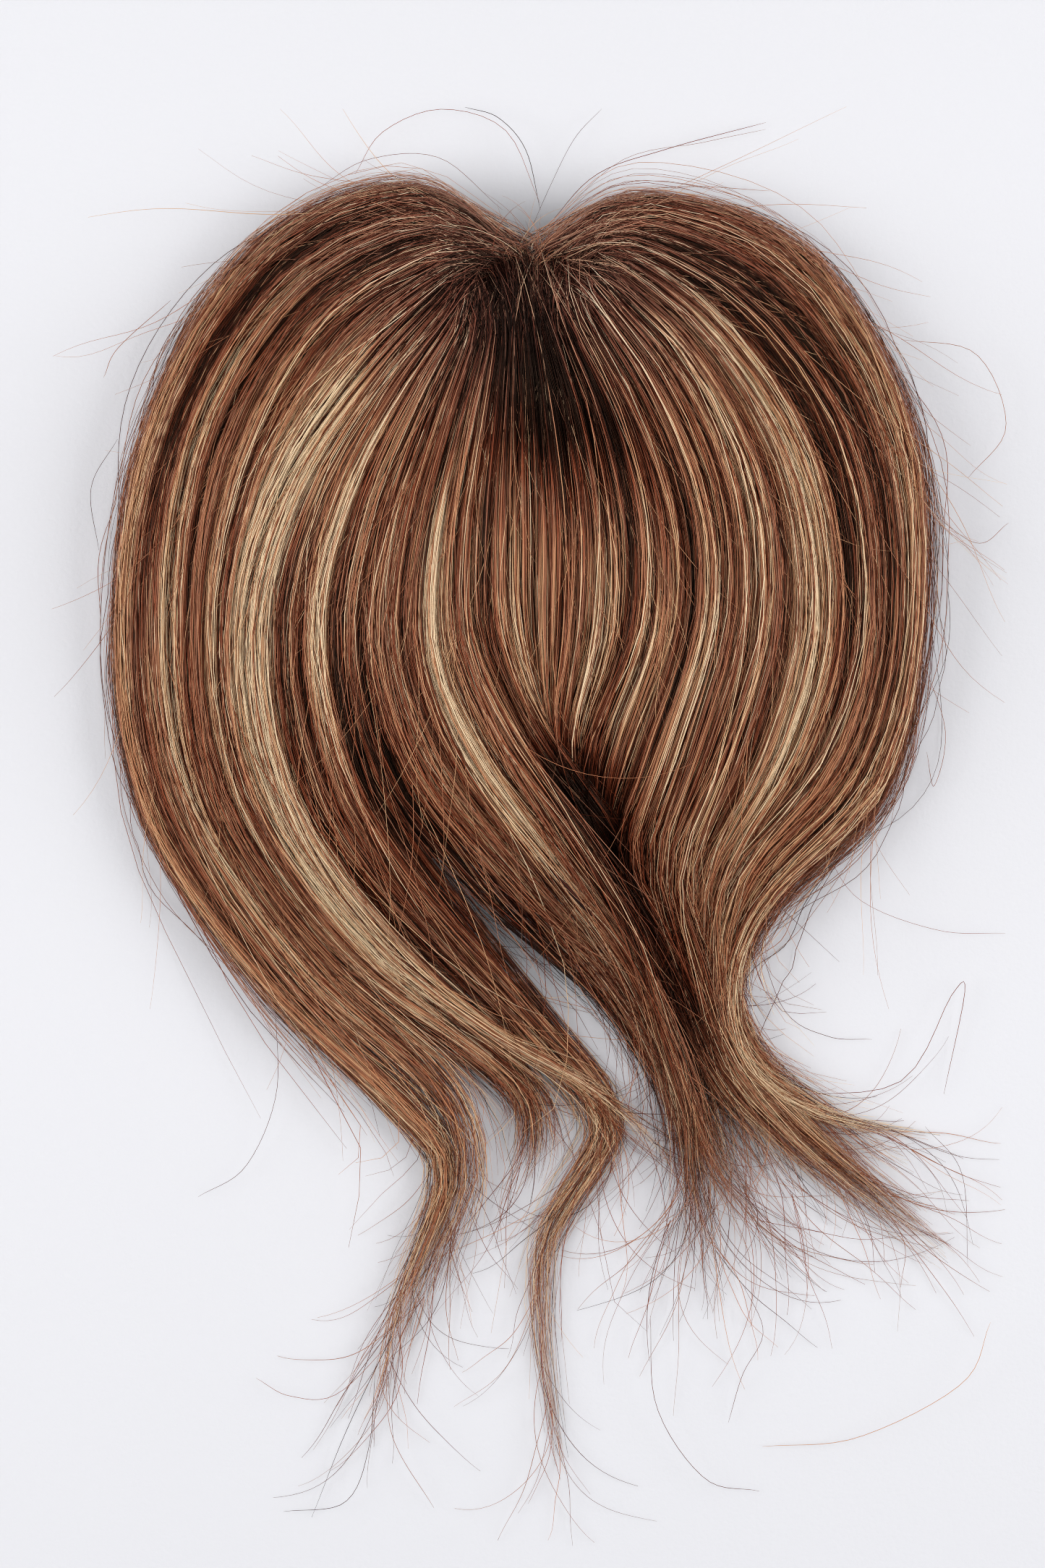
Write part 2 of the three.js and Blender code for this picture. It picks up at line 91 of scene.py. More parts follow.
# The lines that the hair follows. Each station is the share of HAIR_HALF_WIDTH to the right
# of the parting and the share of HAIR_DROP below it.
LINES = {
    "left_edge": (
        (-0.01, 0), (-0.29, -0.058), (-0.665, -0.005), (-0.917, 0.142), (-0.993, 0.312),
        (-0.917, 0.46), (-0.639, 0.595), (-0.292, 0.704), (-0.205, 0.755), (-0.3, 0.85),
        (-0.347, 0.942)),
    "left_outer": (
        (-0.02, 0.001), (-0.248, -0.02), (-0.543, 0.03), (-0.76, 0.148), (-0.83, 0.306),
        (-0.769, 0.448), (-0.517, 0.58), (-0.214, 0.677), (-0.145, 0.75), (-0.225, 0.825),
        (-0.285, 0.9)),
    "left_band": (
        (-0.028, 0.002), (-0.222, 0.004), (-0.483, 0.059), (-0.665, 0.171), (-0.743, 0.312),
        (-0.682, 0.448), (-0.431, 0.574), (-0.135, 0.648), (-0.01, 0.689), (0, 0.73),
        (-0.057, 0.774)),
    "left_streak": (
        (-0.038, 0.004), (-0.196, 0.036), (-0.378, 0.101), (-0.569, 0.195), (-0.665, 0.312),
        (-0.595, 0.448), (-0.361, 0.559), (-0.083, 0.633), (0.108, 0.671), (0.247, 0.704),
        (0.359, 0.745)),
    "left_middle": (
        (-0.045, 0.005), (-0.161, 0.051), (-0.309, 0.124), (-0.431, 0.206), (-0.5, 0.312),
        (-0.439, 0.43), (-0.26, 0.53), (0.03, 0.638), (0.19, 0.714), (0.03, 0.821),
        (0.083, 1)),
    "left_inner": (
        (-0.049, 0.006), (-0.127, 0.059), (-0.222, 0.142), (-0.3, 0.23), (-0.326, 0.324),
        (-0.235, 0.424), (-0.025, 0.512), (0.235, 0.613), (0.35, 0.689), (0.378, 0.759),
        (0.3, 0.821)),
    "left_sweep": (
        (-0.043, 0.008), (-0.092, 0.065), (-0.161, 0.154), (-0.214, 0.242), (-0.217, 0.33),
        (-0.118, 0.412), (0.07, 0.498), (0.25, 0.58), (0.375, 0.677), (0.41, 0.77),
        (0.5, 0.848)),
    "left_last": (
        (-0.035, 0.009), (-0.062, 0.068), (-0.097, 0.154), (-0.127, 0.236), (-0.118, 0.318),
        (-0.014, 0.395), (0.13, 0.471), (0.262, 0.554), (0.36, 0.66), (0.48, 0.757),
        (0.72, 0.842)),
    "centre_left": (
        (-0.024, -0.002), (-0.028, 0.065), (-0.035, 0.148), (-0.038, 0.23), (-0.028, 0.312),
        (0.056, 0.389), (0.229, 0.471), (0.342, 0.559), (0.403, 0.665), (0.446, 0.736),
        (0.411, 0.806)),
    "centre_middle": (
        (0, -0.003), (0.03, 0.068), (0.073, 0.148), (0.099, 0.23), (0.09, 0.312),
        (0.07, 0.395), (0.145, 0.475), (0.3, 0.559), (0.42, 0.665), (0.5, 0.742),
        (0.559, 0.806)),
    "centre_right": (
        (0.026, -0.002), (0.099, 0.065), (0.194, 0.142), (0.25, 0.23), (0.243, 0.318),
        (0.15, 0.406), (0.17, 0.481), (0.318, 0.559), (0.446, 0.659), (0.585, 0.736),
        (0.698, 0.806)),
    "right_inner": (
        (0.038, 0.008), (0.151, 0.056), (0.273, 0.13), (0.359, 0.218), (0.368, 0.306),
        (0.272, 0.412), (0.215, 0.488), (0.33, 0.568), (0.47, 0.654), (0.67, 0.722),
        (0.88, 0.783)),
    "right_middle": (
        (0.05, 0.005), (0.212, 0.036), (0.385, 0.101), (0.507, 0.195), (0.524, 0.301),
        (0.438, 0.406), (0.35, 0.499), (0.41, 0.577), (0.495, 0.657), (0.69, 0.734),
        (1.03, 0.824)),
    "right_streak": (
        (0.056, 0.003), (0.247, 0.012), (0.455, 0.071), (0.646, 0.177), (0.701, 0.301),
        (0.62, 0.409), (0.472, 0.501), (0.451, 0.577), (0.507, 0.65), (0.71, 0.726),
        (0.99, 0.795)),
    "right_outer": (
        (0.05, 0), (0.264, -0.011), (0.559, 0.042), (0.785, 0.154), (0.845, 0.301),
        (0.75, 0.418), (0.542, 0.501), (0.477, 0.577), (0.524, 0.648), (0.715, 0.698),
        (0.941, 0.748)),
    "right_edge": (
        (0.012, 0), (0.273, -0.048), (0.663, -0.008), (0.915, 0.13), (0.957, 0.289),
        (0.863, 0.436), (0.602, 0.524), (0.503, 0.589), (0.533, 0.659), (0.715, 0.701),
        (1.002, 0.721)),
}

# How many even steps of the run a line is worked out at, and how many points a hair has.
FINE = 800
STRAND_RINGS = 21
STEPS = np.linspace(0, 1, STRAND_RINGS)[None, :]

# How things change along a strand, station by station: its height as a share of the
# mound's, its share of the crossing rise and of a lock's rounding, how far it is drawn
# from its place in the row to its nearest line, how deep its layer is in millimetres, and its
# share of its tail's width.
HEIGHT = (1, 1, 1, 1, 1, 1, 0.95, 0.85, 0.7, 0.55, 0.2)
CROSSING = (0, 0, 0, 0, 0.1, 0.55, 1, 1, 0.8, 0.4, 0.1)
ROUNDING = (0.5, 0.9, 1, 1, 1, 1, 1, 0.95, 0.8, 0.65, 0.25)
DRAW = (0, 0, 0, 0, 0, 0.03, 0.17, 0.8, 1, 1, 1)
LAYER = (1, 2, 2.4, 2.4, 2.6, 3, 4, 5, 6, 5, 2)
SPREAD = (1, 1, 1, 1, 1, 1, 1, 1.1, 1, 0.75, 0.3)

# The three bodies of hair. Each one lies between the first and the last of its lines. Its
# locks from the share rise_from on ride so far above the mound where the bodies cross.
BODIES = {
    "hair_left": {
        "lines": ("left_edge", "left_outer", "left_band", "left_streak",
                  "left_middle", "left_inner", "left_sweep", "left_last"),
        "locks": 8, "rise": CROSSING_RISE, "rise_from": 0.55,
    },
    "hair_centre": {
        "lines": ("left_last", "centre_left", "centre_middle", "centre_right", "right_inner"),
        "locks": 3, "rise": -CENTRE_SINK, "rise_from": -1.0,
    },
    "hair_right": {
        "lines": ("right_inner", "right_middle", "right_streak", "right_outer", "right_edge"),
        "locks": 5, "rise": 0.0, "rise_from": 0.0,
    },
}

# Lightened and dark locks of each body: the share of its lines at the middle of the lock,
# its half width as such a share, where it begins and ends along the run, and how much
# lighter or darker it is. The lightened ones are hair lightened in foils; the dark ones are
# partly darker hair and partly painted shade in the valleys between locks, down the far
# sides of the lobes, below the parting and under the crossing.
TONES = {
    "hair_left": (
        (0.03, 0.02, 0.1, 0.5, 0.1), (0.08, 0.018, 0.1, 0.32, -0.5), (0.045, 0.01, 0.3, 0.6, -0.3),
        (0.16, 0.17, 0.02, 0.2, -0.1), (0.12, 0.02, 0.05, 0.6, 0.2), (0.17, 0.01, 0.2, 0.55, -0.35),
        (0.22, 0.03, 0.05, 0.5, -0.12), (0.27, 0.016, 0.16, 0.55, 0.3),
        (0.31, 0.01, 0.25, 0.5, -0.35), (0.35, 0.012, 0.12, 0.4, 0.14),
        (0.425, 0.045, 0.14, 0.58, 0.8), (0.375, 0.025, 0.46, 0.66, 0.46),
        (0.29, 0.02, 0.54, 0.72, 0.34), (0.33, 0.008, 0.4, 0.7, -0.5),
        (0.24, 0.012, 0.42, 0.72, -0.4), (0.14, 0.014, 0.44, 0.72, -0.35),
        (0.53, 0.02, 0.5, 0.7, -0.3), (0.47, 0.014, 0.15, 0.62, 0.2), (0.4, 0.004, 0.2, 0.66, -0.5),
        (0.443, 0.0035, 0.16, 0.6, -0.5), (0.847, 0.0035, 0.2, 0.5, -0.4),
        (0.498, 0.011, 0.26, 0.64, -0.6), (0.54, 0.012, 0.3, 0.5, -0.25),
        (0.575, 0.022, 0.14, 0.44, 0.52), (0.545, 0.012, 0.8, 1.0, 0.35),
        (0.61, 0.012, 0.2, 0.5, -0.45), (0.64, 0.055, 0.36, 0.7, -0.42),
        (0.71, 0.014, 0.2, 0.5, 0.12), (0.76, 0.012, 0.16, 0.4, -0.4),
        (0.8, 0.02, 0.12, 0.36, -0.14), (0.855, 0.025, 0.18, 0.58, 0.7),
        (0.9, 0.02, 0.25, 0.5, 0.16), (0.95, 0.014, 0.2, 0.44, -0.3),
        (0.98, 0.05, 0.47, 0.7, -0.36),
    ),
    "hair_centre": (
        (0.5, 0.4, 0.02, 0.22, -0.31), (0.25, 0.1, 0.28, 0.42, 0.12), (0.08, 0.04, 0.2, 0.4, -0.4),
        (0.62, 0.06, 0.26, 0.44, 0.3), (0.74, 0.03, 0.2, 0.42, -0.3), (0.86, 0.08, 0.3, 0.46, 0.3),
        (0.5, 0.5, 0.44, 0.66, -0.3),
    ),
    "hair_right": (
        (0.03, 0.02, 0.2, 0.42, -0.3), (0.12, 0.05, 0.3, 0.46, 0.24), (0.19, 0.02, 0.2, 0.5, -0.35),
        (0.27, 0.035, 0.08, 0.36, 0.34), (0.36, 0.02, 0.2, 0.5, -0.3),
        (0.49, 0.045, 0.1, 0.52, 0.62), (0.472, 0.005, 0.14, 0.5, -0.5),
        (0.508, 0.004, 0.1, 0.46, -0.45), (0.56, 0.02, 0.06, 0.3, 0.2),
        (0.62, 0.022, 0.05, 0.4, -0.55), (0.7, 0.03, 0.07, 0.3, -0.34),
        (0.8, 0.045, 0.08, 0.38, -0.4), (0.88, 0.02, 0.3, 0.55, -0.2), (0.94, 0.04, 0.1, 0.5, 0.12),
        (1.0, 0.05, 0.76, 1.0, 0.3),
    ),
}

# The tail that each line ends in: its half width in millimetres, the share of its strands
# that reach it, how loosely they are drawn to it, how soon the others end (the higher, the
# sooner), how much lighter it is, and how many millimetres it rides over the rest.
TAILS = {
    "left_edge": (2.5, 0.17, 0.12, 2.6, 0.1, 0), "left_outer": (2.6, 0.08, 0.16, 3.0, 0.1, 0),
    "left_band": (1.5, 0.12, 0.12, 2.2, 0.0, 0), "left_streak": (0.9, 0.3, 0.04, 1.6, 0.3, 4),
    "left_middle": (3.2, 0.28, 0.06, 2.4, 0.08, -2), "left_inner": (1.5, 0.1, 0.03, 1.4, -0.05, -2),
    "left_sweep": (2.4, 0.14, 0.1, 1.4, 0.0, 0), "left_last": (2.2, 0.12, 0.12, 1.4, -0.05, 0),
    "centre_left": (3.6, 0.08, 0.3, 2.0, 0.06, 0), "centre_middle": (3.6, 0.08, 0.35, 2.0, 0.06, 0),
    "centre_right": (3.6, 0.08, 0.3, 2.0, 0.06, 0), "right_inner": (4.2, 0.32, 0.1, 1.6, 0.08, 0),
    "right_middle": (5.2, 0.58, 0.05, 1.6, 0.04, 0), "right_streak": (3.2, 0.3, 0.12, 1.4, 0.05, 0),
    "right_outer": (2.0, 0.16, 0.12, 1.4, 0.15, 0), "right_edge": (1.3, 0.5, 0.04, 1.4, 0.3, 1),
}

# How many strands make a tuft, the share of strands that lie by themselves, the shares of
# tufts that stray and that lie deeper, and the shares of strands that sway widely, that take
# little of a lock's tone, and that are lighter and darker than the rest.
TUFT_SIZE = 10
SINGLE = 0.5
ASTRAY = 0.16
SUNKEN = 0.2
SWAYING = 0.1
PLAIN = 0.12
LIGHTER = 0.07
DARKER = 0.16

# The run that the shortest strands have, how much longer others may be, and how much
# shorter than the whole run the ones may be that reach a tail.
SHORT_RUN, LONGER, TAIL_SHORT = 0.61, 0.32, 0.17

# The tone of a strand, and what is added to it at its root: the values and how often each is.
MIDDLE_TONE = 0.52
ROOT_TONES, ROOT_ODDS = (-0.34, -0.12, 0.22), (0.4, 0.44, 0.16)

# The share of a line's strands that leave it for the line before.
LEAVING = {"left_streak": 0.62}

# Where the roots of each body stand along the ridge of the parting: millimetres to the
# right at even shares of the row.
ROOTS = {
    "hair_left": (-2.0, -7.0, -13.0, -17.0, -9.0),
    "hair_centre": (-8.0, -4.0, 0.0, 5.0, 9.0),
    "hair_right": (8.0, 14.0, 17.0, 8.0, 2.0),
}

# Where the bed of each body ends along the run, at even shares of the row.
BED_ENDS = {
    "hair_left": (0.5, 0.58, 0.6, 0.62, 0.62, 0.62, 0.6, 0.55, 0.52, 0.54, 0.6, 0.58, 0.5),
    "hair_centre": (0.6, 0.62, 0.62, 0.62, 0.6),
    "hair_right": (0.6, 0.64, 0.66, 0.66, 0.6, 0.45),
}

# Painted shade in the hollows under the crossing, and dark pockets at the roots, partly the roots'
# darker colour and partly painted shade: the two ends of each in millimetres from the parting, its
# reach, and how much darker it is.
HOLLOW_SHADE = (
    ((12.0, -155.0), (42.0, -226.0), 11.5, 0.92), ((40.0, -222.0), (47.0, -250.0), 10.0, 0.5),
)
POCKETS = (
    ((-10.0, -13.0), (5.0, -52.0), 13.0, 0.52), ((-20.0, -7.0), (-28.0, -17.0), 6.0, 0.26),
    ((22.0, -7.0), (33.0, -18.0), 6.0, 0.26), ((24.0, -50.0), (28.0, -66.0), 6.0, 0.26),
)

# Where the hair sags towards the table, in the same way, and the share of its height that it
# loses.
SAGS = (((2.0, -200.0), (30.0, -240.0), 15.0, 0.68),)

# Groups of strands: their body, the range of its lines that they come from, and their
# share of all strands.
STRAND_GROUPS = {
    "strands_left_edge": ("hair_left", -0.05, 0.3, 0.19),
    "strands_left_streak": ("hair_left", 0.3, 0.62, 0.19),
    "strands_left_sweep": ("hair_left", 0.62, 1.02, 0.16),
    "strands_centre": ("hair_centre", -0.02, 1.02, 0.17),
    "strands_right_inner": ("hair_right", -0.04, 0.48, 0.14),
    "strands_right_edge": ("hair_right", 0.48, 1.05, 0.15),
}

# Loose hairs that stand off by themselves, as points in millimetres to the right of the
# parting and beyond it.
LOOSE_HAIRS = (
    ((0, 3), (7, 20), (14, 34), (22, 43)),
    ((4, 12), (0, 30), (-8, 40), (-18, 43.5)),
    ((4, 14), (-6, 36), (-25, 42.5), (-42, 36), (-50, 24)),
    ((6, 7), (20, 23), (41, 31), (70, 39)),
    ((5, 5), (27, 27), (52, 33), (70, 37)),
    ((6, 5), (25, 17), (47, 20), (71, 19)),
    ((-7, 12), (-25, 28), (-46, 28), (-62, 19)),
    ((109, -25), (131, -29), (140, -50), (129, -65)),
    ((114, -72), (131, -84), (141, -78)),
    ((113, -113), (122, -138), (119, -155), (117, -145)),
    ((86, -172), (97, -188), (120, -197), (140, -198)),
    ((66, -195), (75, -220), (88, -228), (101, -229)),
    ((77, -245), (109, -241), (124, -216), (128, -215), (122, -245)),
    ((4, -314), (6, -341), (10, -358)),
    ((-41, -323), (-39, -345), (-27, -366)),
    ((-44, -325), (-46, -348), (-53, -364), (-71, -367)),
    ((-37, -314), (-55, -332), (-69, -333), (-79, -328)),
    ((36, -309), (38, -336), (52, -357), (68, -361)),
    ((135, -311), (127, -329), (97, -345), (69, -348)),
    ((116, -254), (127, -268), (129, -295)),
    ((-73, -220), (-73, -245), (-82, -266), (-96, -275)),
    ((-119, -54), (-127, -68), (-125, -86)),
    ((-123, -36), (-119, -27), (-104, -13)),
    ((63, -300), (69, -314), (63, -327), (59, -341)),
)


def linear(hex_colour):
    """An sRGB hex colour as linear red, green, blue and alpha."""
    value = int(hex_colour.lstrip("#"), 16)
    parts = [((value >> shift) & 255) / 255 for shift in (16, 8, 0)]
    return [p / 12.92 if p <= 0.04045 else ((p + 0.055) / 1.055) ** 2.4 for p in parts] + [1.0]


class HairSizes(bpy.types.PropertyGroup):
    """Sizes and numbers of the strands."""

    strands: IntProperty(
        name="Strands", description="Number of strands in all", default=5900, min=100, max=6800)
    width: FloatProperty(
        name="Strand width", description="Thickest width of a strand", default=0.30 * MM,
        min=0.05 * MM, max=1 * MM, unit="LENGTH")
    wave: FloatProperty(
        name="Wave", description="How far a strand waves to either side", default=1.6 * MM,
        min=0, max=5 * MM, unit="LENGTH")
    relief: FloatProperty(
        name="Relief", description="How far one lock stands above the next", default=3.2 * MM,
        min=0, max=6 * MM, unit="LENGTH")


def colour_property(name, description, hex_colour):
    """A colour that a user can change."""
    return FloatVectorProperty(
        name=name, description=description, subtype="COLOR", size=4,
        default=linear(hex_colour), min=0, max=1)


class HairColours(bpy.types.PropertyGroup):
    """Colours of the hair, from the darkest strands to the lightest."""

    # The darkest colour is reached mostly where shade is painted into the tone: deep strands, the
    # hollows and the bed.
    dark: colour_property("Dark", "Strands in the depth", "#120704")
    deep: colour_property("Deep brown", "Darkest strands on top", "#36140a")
    brown: colour_property("Brown", "Brown strands", "#692e1b")
    chestnut: colour_property("Chestnut", "Reddish brown strands", "#984f33")
    ashen: colour_property("Ashen", "Ashen brown strands", "#9c6c54")
    copper: colour_property("Copper", "Light reddish strands", "#c07f5b")
    blonde: colour_property("Blonde", "Lightened strands", "#deb286")
    pale: colour_property("Pale", "Most lightened strands", "#f7ddb8")


class StageSizes(bpy.types.PropertyGroup):
    """The table, the camera and the light."""

    camera_height: FloatProperty(
        name="Camera height", description="Height of the lens over the table", default=1.6,
        min=0.5, max=5, unit="LENGTH")
    view_height: FloatProperty(
        name="View height", description="Length of table that the picture shows", default=0.45528,
        min=0.1, max=2, unit="LENGTH")
    light_power: FloatProperty(
        name="Light", description="Power of the large lamp on either side", default=17.6,
        min=0, max=500, unit="POWER")


def held(value):
    """A value kept between 0 and 1."""
    return np.clip(value, 0, 1)


def eased(values, run):
    """A value given at the stations, eased from each one to the next by 3f^2 - 2f^3."""
    values = np.asarray(values, float)
    index = np.clip(np.searchsorted(STATIONS, run, side="right") - 1, 0, len(STATIONS) - 2)
    share = (run - STATIONS[index]) / (STATIONS[index + 1] - STATIONS[index])
    share = share * share * (3 - 2 * share)
    return values[index] + (values[index + 1] - values[index]) * share


def smooth_path(points, place):
    """Points along a smooth curve through given points: with f the share of the way between
    two of them, the cubic that has half the step between each point's neighbours as its
    slope there. place counts points from 0."""
    points = np.asarray(points, float)
    ends = np.concatenate([[2 * points[0] - points[1]], points, [2 * points[-1] - points[-2]]])
    index = np.clip(np.floor(place).astype(int), 0, len(points) - 2)
    share = (place - index)[..., None]
    a, b, c, d = (ends[index + k] for k in range(4))
    slope_in, slope_out = (c - a) / 2, (d - b) / 2
    return (
        b + slope_in * share
        + (3 * (c - b) - 2 * slope_in - slope_out) * share**2
        + (2 * (b - c) + slope_in + slope_out) * share**3
    )


def line_table(body):
    """Every line of a body at FINE + 1 even steps of the run, in millimetres from the parting."""
    runs = np.linspace(0, 1, FINE + 1)
    index = np.clip(np.searchsorted(STATIONS, runs, side="right") - 1, 0, len(STATIONS) - 2)
    place = index + (runs - STATIONS[index]) / (STATIONS[index + 1] - STATIONS[index])
    scale = np.array([HAIR_HALF_WIDTH, -HAIR_DROP])
    return np.stack([smooth_path(np.array(LINES[name]) * scale, place) for name in body["lines"]])


def row_point(table, share, run, nearest, drawn=1.0):
    """The place at a share of a body's lines and a share of the run: between its two lines
    in proportion, and drawn to the nearest line as the tails part."""
    lines = len(table)
    place = held(share) * (lines - 1)
    place = place + (nearest - place) * eased(DRAW, held(run)) * drawn
    index = np.clip(np.floor(place).astype(int), 0, lines - 2)
    across = (place - index)[..., None]
    at = held(run) * FINE
    step = np.clip(np.floor(at).astype(int), 0, FINE - 1)
    along = (at - step)[..., None]
    low = table[index, step] * (1 - along) + table[index, step + 1] * along
    high = table[index + 1, step] * (1 - along) + table[index + 1, step + 1] * along
    return low * (1 - across) + high * across


def mound_height(x, y):
    """Height of the mound of hair: it falls from the crown to the edge with the square of
    the distance from the middle of the base."""
    ahead = y + BASE_HALF_LENGTH
    reach = BASE_HALF_LENGTH + np.where(ahead > 0, FRONT_REACH, BACK_REACH)
    out = np.minimum(1, np.hypot(x / HAIR_HALF_WIDTH, ahead / reach))
    return EDGE_HEIGHT + (BASE_RISE + CROWN_DEPTH - EDGE_HEIGHT) * (1 - out * out)


def dome_height(x, y):
    """Height of the base's outer face, an elliptical dome, and 0 beyond its rim."""
    out = (x / BASE_HALF_WIDTH) ** 2 + ((y + BASE_HALF_LENGTH) / BASE_HALF_LENGTH) ** 2
    return BASE_RISE * np.sqrt(np.maximum(0, 1 - out))


def hair_height(body, share, run, x, y):
    """Height of a body's hair: from ROOT_HEIGHT at the parting to the mound at the shoulder,
    by r(2 - r), less towards the tips, with the rise of the locks that cross over, and
    rounded down between one lock and the next."""
    rooted = np.minimum(1, run / SHOULDER)
    mound = mound_height(x, y) * eased(HEIGHT, run)
    ridden = held((share - body["rise_from"]) / (1 - body["rise_from"]))
    lift = body["rise"] * ridden * eased(CROSSING, run)
    lock = held(share) * body["locks"]
    off = np.abs(lock - np.floor(lock) - 0.5) * 2 / (1 + LOCK_OVERLAP)
    round_off = LOCK_ROUNDING * eased(ROUNDING, run) * (1 - np.sqrt(1 - off * off))
    return ROOT_HEIGHT + (mound - ROOT_HEIGHT) * rooted * (2 - rooted) + lift - round_off


class Draws:
    """Random values in a column, one for each of count hairs: even ones between two values,
    and ones with a bell about a middle value."""

    def __init__(self, rng, count):
        self.rng = rng
        self.size = (count, 1)

    def even(self, low=0.0, high=1.0):
        return self.rng.uniform(low, high, self.size)

    def bell(self, spread=1.0, middle=0.0):
        return self.rng.normal(middle, spread, self.size)


def waves(rng, count, run, lengths):
    """A smooth wave along the run for each of count strands: a sum of sines of random phase
    whose numbers of turns are round the given ones."""
    total = np.zeros((count, run.shape[-1]))
    for turns in lengths:
        rate = turns * rng.uniform(0.7, 1.3, (count, 1))
        phase = rng.uniform(0, 2 * np.pi, (count, 1))
        total += np.sin(2 * np.pi * rate * run + phase) / math.sqrt(len(lengths))
    return total


def relief_at(body_name, share, run):
    """Height of one lock of a body above the next, between -1 and 1: broad backs with narrow valleys
    between them, each the absolute value of a sine across the row to the power 0.6, whose
    phases drift along the run."""
    rng = np.random.default_rng(77 + len(body_name))
    total = np.zeros(np.broadcast(share, run).shape)
    weights = 0.0
    for turns, weight in ((8, 1.0), (17, 0.9), (33, 0.5)):
        phase, drift, turn = rng.uniform(0, 2 * np.pi, 3)
        sway = 1.4 * np.sin(3.1 * run + drift) + 0.8 * np.sin(7.3 * run + turn)
        total += weight * (2 * np.abs(np.sin(np.pi * turns * share + phase + sway)) ** 0.6 - 1)
        weights += weight
    return total / weights


def tone_at(body_name, share, run):
    """Lightness added by the lightened and dark locks, the dark ones partly painted shade:
    each has a bell across the row and eased ends along the run."""
    total = np.zeros(np.broadcast(share, run).shape)
    for middle, half, start, end, strength in TONES[body_name]:
        bell = np.exp(-(((share - middle) / half) ** 2))
        ease = 0.07
        begin = held((run - start) / ease)
        finish = held((end + ease - run) / (1.6 * ease))
        total += strength * bell * begin * finish
    return total


def mesh_object(name, points, faces):
    """A mesh of points in metres and four-cornered faces. A face with its last corner equal
    to its third is a triangle."""
    mesh = bpy.data.meshes.new(name)
    faces = np.asarray(faces, np.int32)
    three = faces[:, 2] == faces[:, 3]
    counts = np.where(three, 3, 4).astype(np.int32)
    keep = np.ones(faces.shape, bool)
    keep[three, 3] = False
    corners = faces[keep]
    mesh.vertices.add(len(points))
    mesh.vertices.foreach_set("co", np.asarray(points, np.float32).ravel())
    mesh.loops.add(len(corners))
    mesh.loops.foreach_set("vertex_index", corners)
    mesh.polygons.add(len(faces))
    starts = np.concatenate([[0], np.cumsum(counts)[:-1]]).astype(np.int32)
    mesh.polygons.foreach_set("loop_start", starts)
    mesh.polygons.foreach_set("use_smooth", np.ones(len(faces), bool))
    mesh.update(calc_edges=True)
    mesh.validate()
    thing = bpy.data.objects.new(name, mesh)
    bpy.context.scene.collection.objects.link(thing)
    return thing


def strands_object(name, centres, widths, tones, runs):
    """Closed three-sided strands. centres is strands x points x 3 in millimetres, and each
    ring of three corners lies in the plane square to the strand, at angles a third of a
    turn apart. Its map has the tone across and the run along."""
    count, rings, _ = centres.shape
    along = np.gradient(centres, axis=1)
    along /= np.maximum(np.linalg.norm(along, axis=2, keepdims=True), 1e-9)
    up = np.array([0.0, 0.0, 1.0])
    side = np.cross(along, up)
    side /= np.maximum(np.linalg.norm(side, axis=2, keepdims=True), 1e-9)
    top = np.cross(side, along)
    corners = []
    for angle in (math.pi / 2, math.pi / 2 + 2 * math.pi / 3, math.pi / 2 + 4 * math.pi / 3):
        turned = side * math.cos(angle) + top * math.sin(angle)
        corners.append(centres + turned * widths[..., None] / 2)
    points = np.stack(corners, 2).reshape(-1, 3) * MM
    base = (np.arange(count)[:, None] * rings + np.arange(rings - 1)[None, :]) * 3
    quads = []
    for k in range(3):
        n = (k + 1) % 3
        quads.append(np.stack([base + k, base + n, base + 3 + n, base + 3 + k], -1))
    quads = np.stack(quads, 2).reshape(-1, 4)
    first = np.arange(count) * rings * 3
    last = first + (rings - 1) * 3
    caps = np.concatenate([
        np.stack([first, first + 2, first + 1, first + 1], -1),
        np.stack([last, last + 1, last + 2, last + 2], -1),
    ])
    thing = mesh_object(name, points, np.concatenate([quads, caps]))
    tones, runs = np.broadcast_arrays(tones, runs)
    tone = np.repeat(tones.ravel(), 3) + np.tile((0.0, 0.004, 0.008), count * rings)
    map_faces(thing, np.clip(np.stack([tone, np.repeat(runs.ravel(), 3)], 1), 0.002, 0.998))
    return thing


def map_faces(thing, places):
    """Gives a piece its map: a place for each of its points."""
    mesh = thing.data
    vertex = np.empty(len(mesh.loops), np.int32)
    mesh.loops.foreach_get("vertex_index", vertex)
    layer = mesh.uv_layers.new(name="OFBake")
    layer.uv.foreach_set("vector", places[vertex].astype(np.float32).ravel())


def side_ways(table, share, run, nearest, drawn):
    """The place of each point of a strand, and the level direction square to the strand, to
    its left as it runs down."""
    at = row_point(table, share, run, nearest, drawn)
    ahead = row_point(table, share, np.minimum(run + 0.01, 1), nearest, drawn)
    along = ahead - row_point(table, share, np.maximum(run - 0.01, 0), nearest, drawn)
    along /= np.maximum(np.linalg.norm(along, axis=2, keepdims=True), 1e-9)
    return at, np.stack([along[..., 1], -along[..., 0]], -1)


def root_place(body_name, share, run):
    """How far to the right a strand stands of its line near the ridge of the parting."""
    values = np.array(ROOTS[body_name])
    even = np.linspace(0, 1, len(values))
    return np.interp(share, even, values) * held(1 - run / 0.11) ** 2


def bells_at(places, x, y):
    """The sum of a bell about the middle line of each of the places."""
    total = np.zeros(x.shape)
    for start, end, reach, strength in places:
        start, way = np.array(start), np.array(end) - np.array(start)
        share = held(((x - start[0]) * way[0] + (y - start[1]) * way[1]) / (way @ way))
        away = np.hypot(x - start[0] - share * way[0], y - start[1] - share * way[1])
        total += strength * np.exp(-((away / reach) ** 2))
    return total


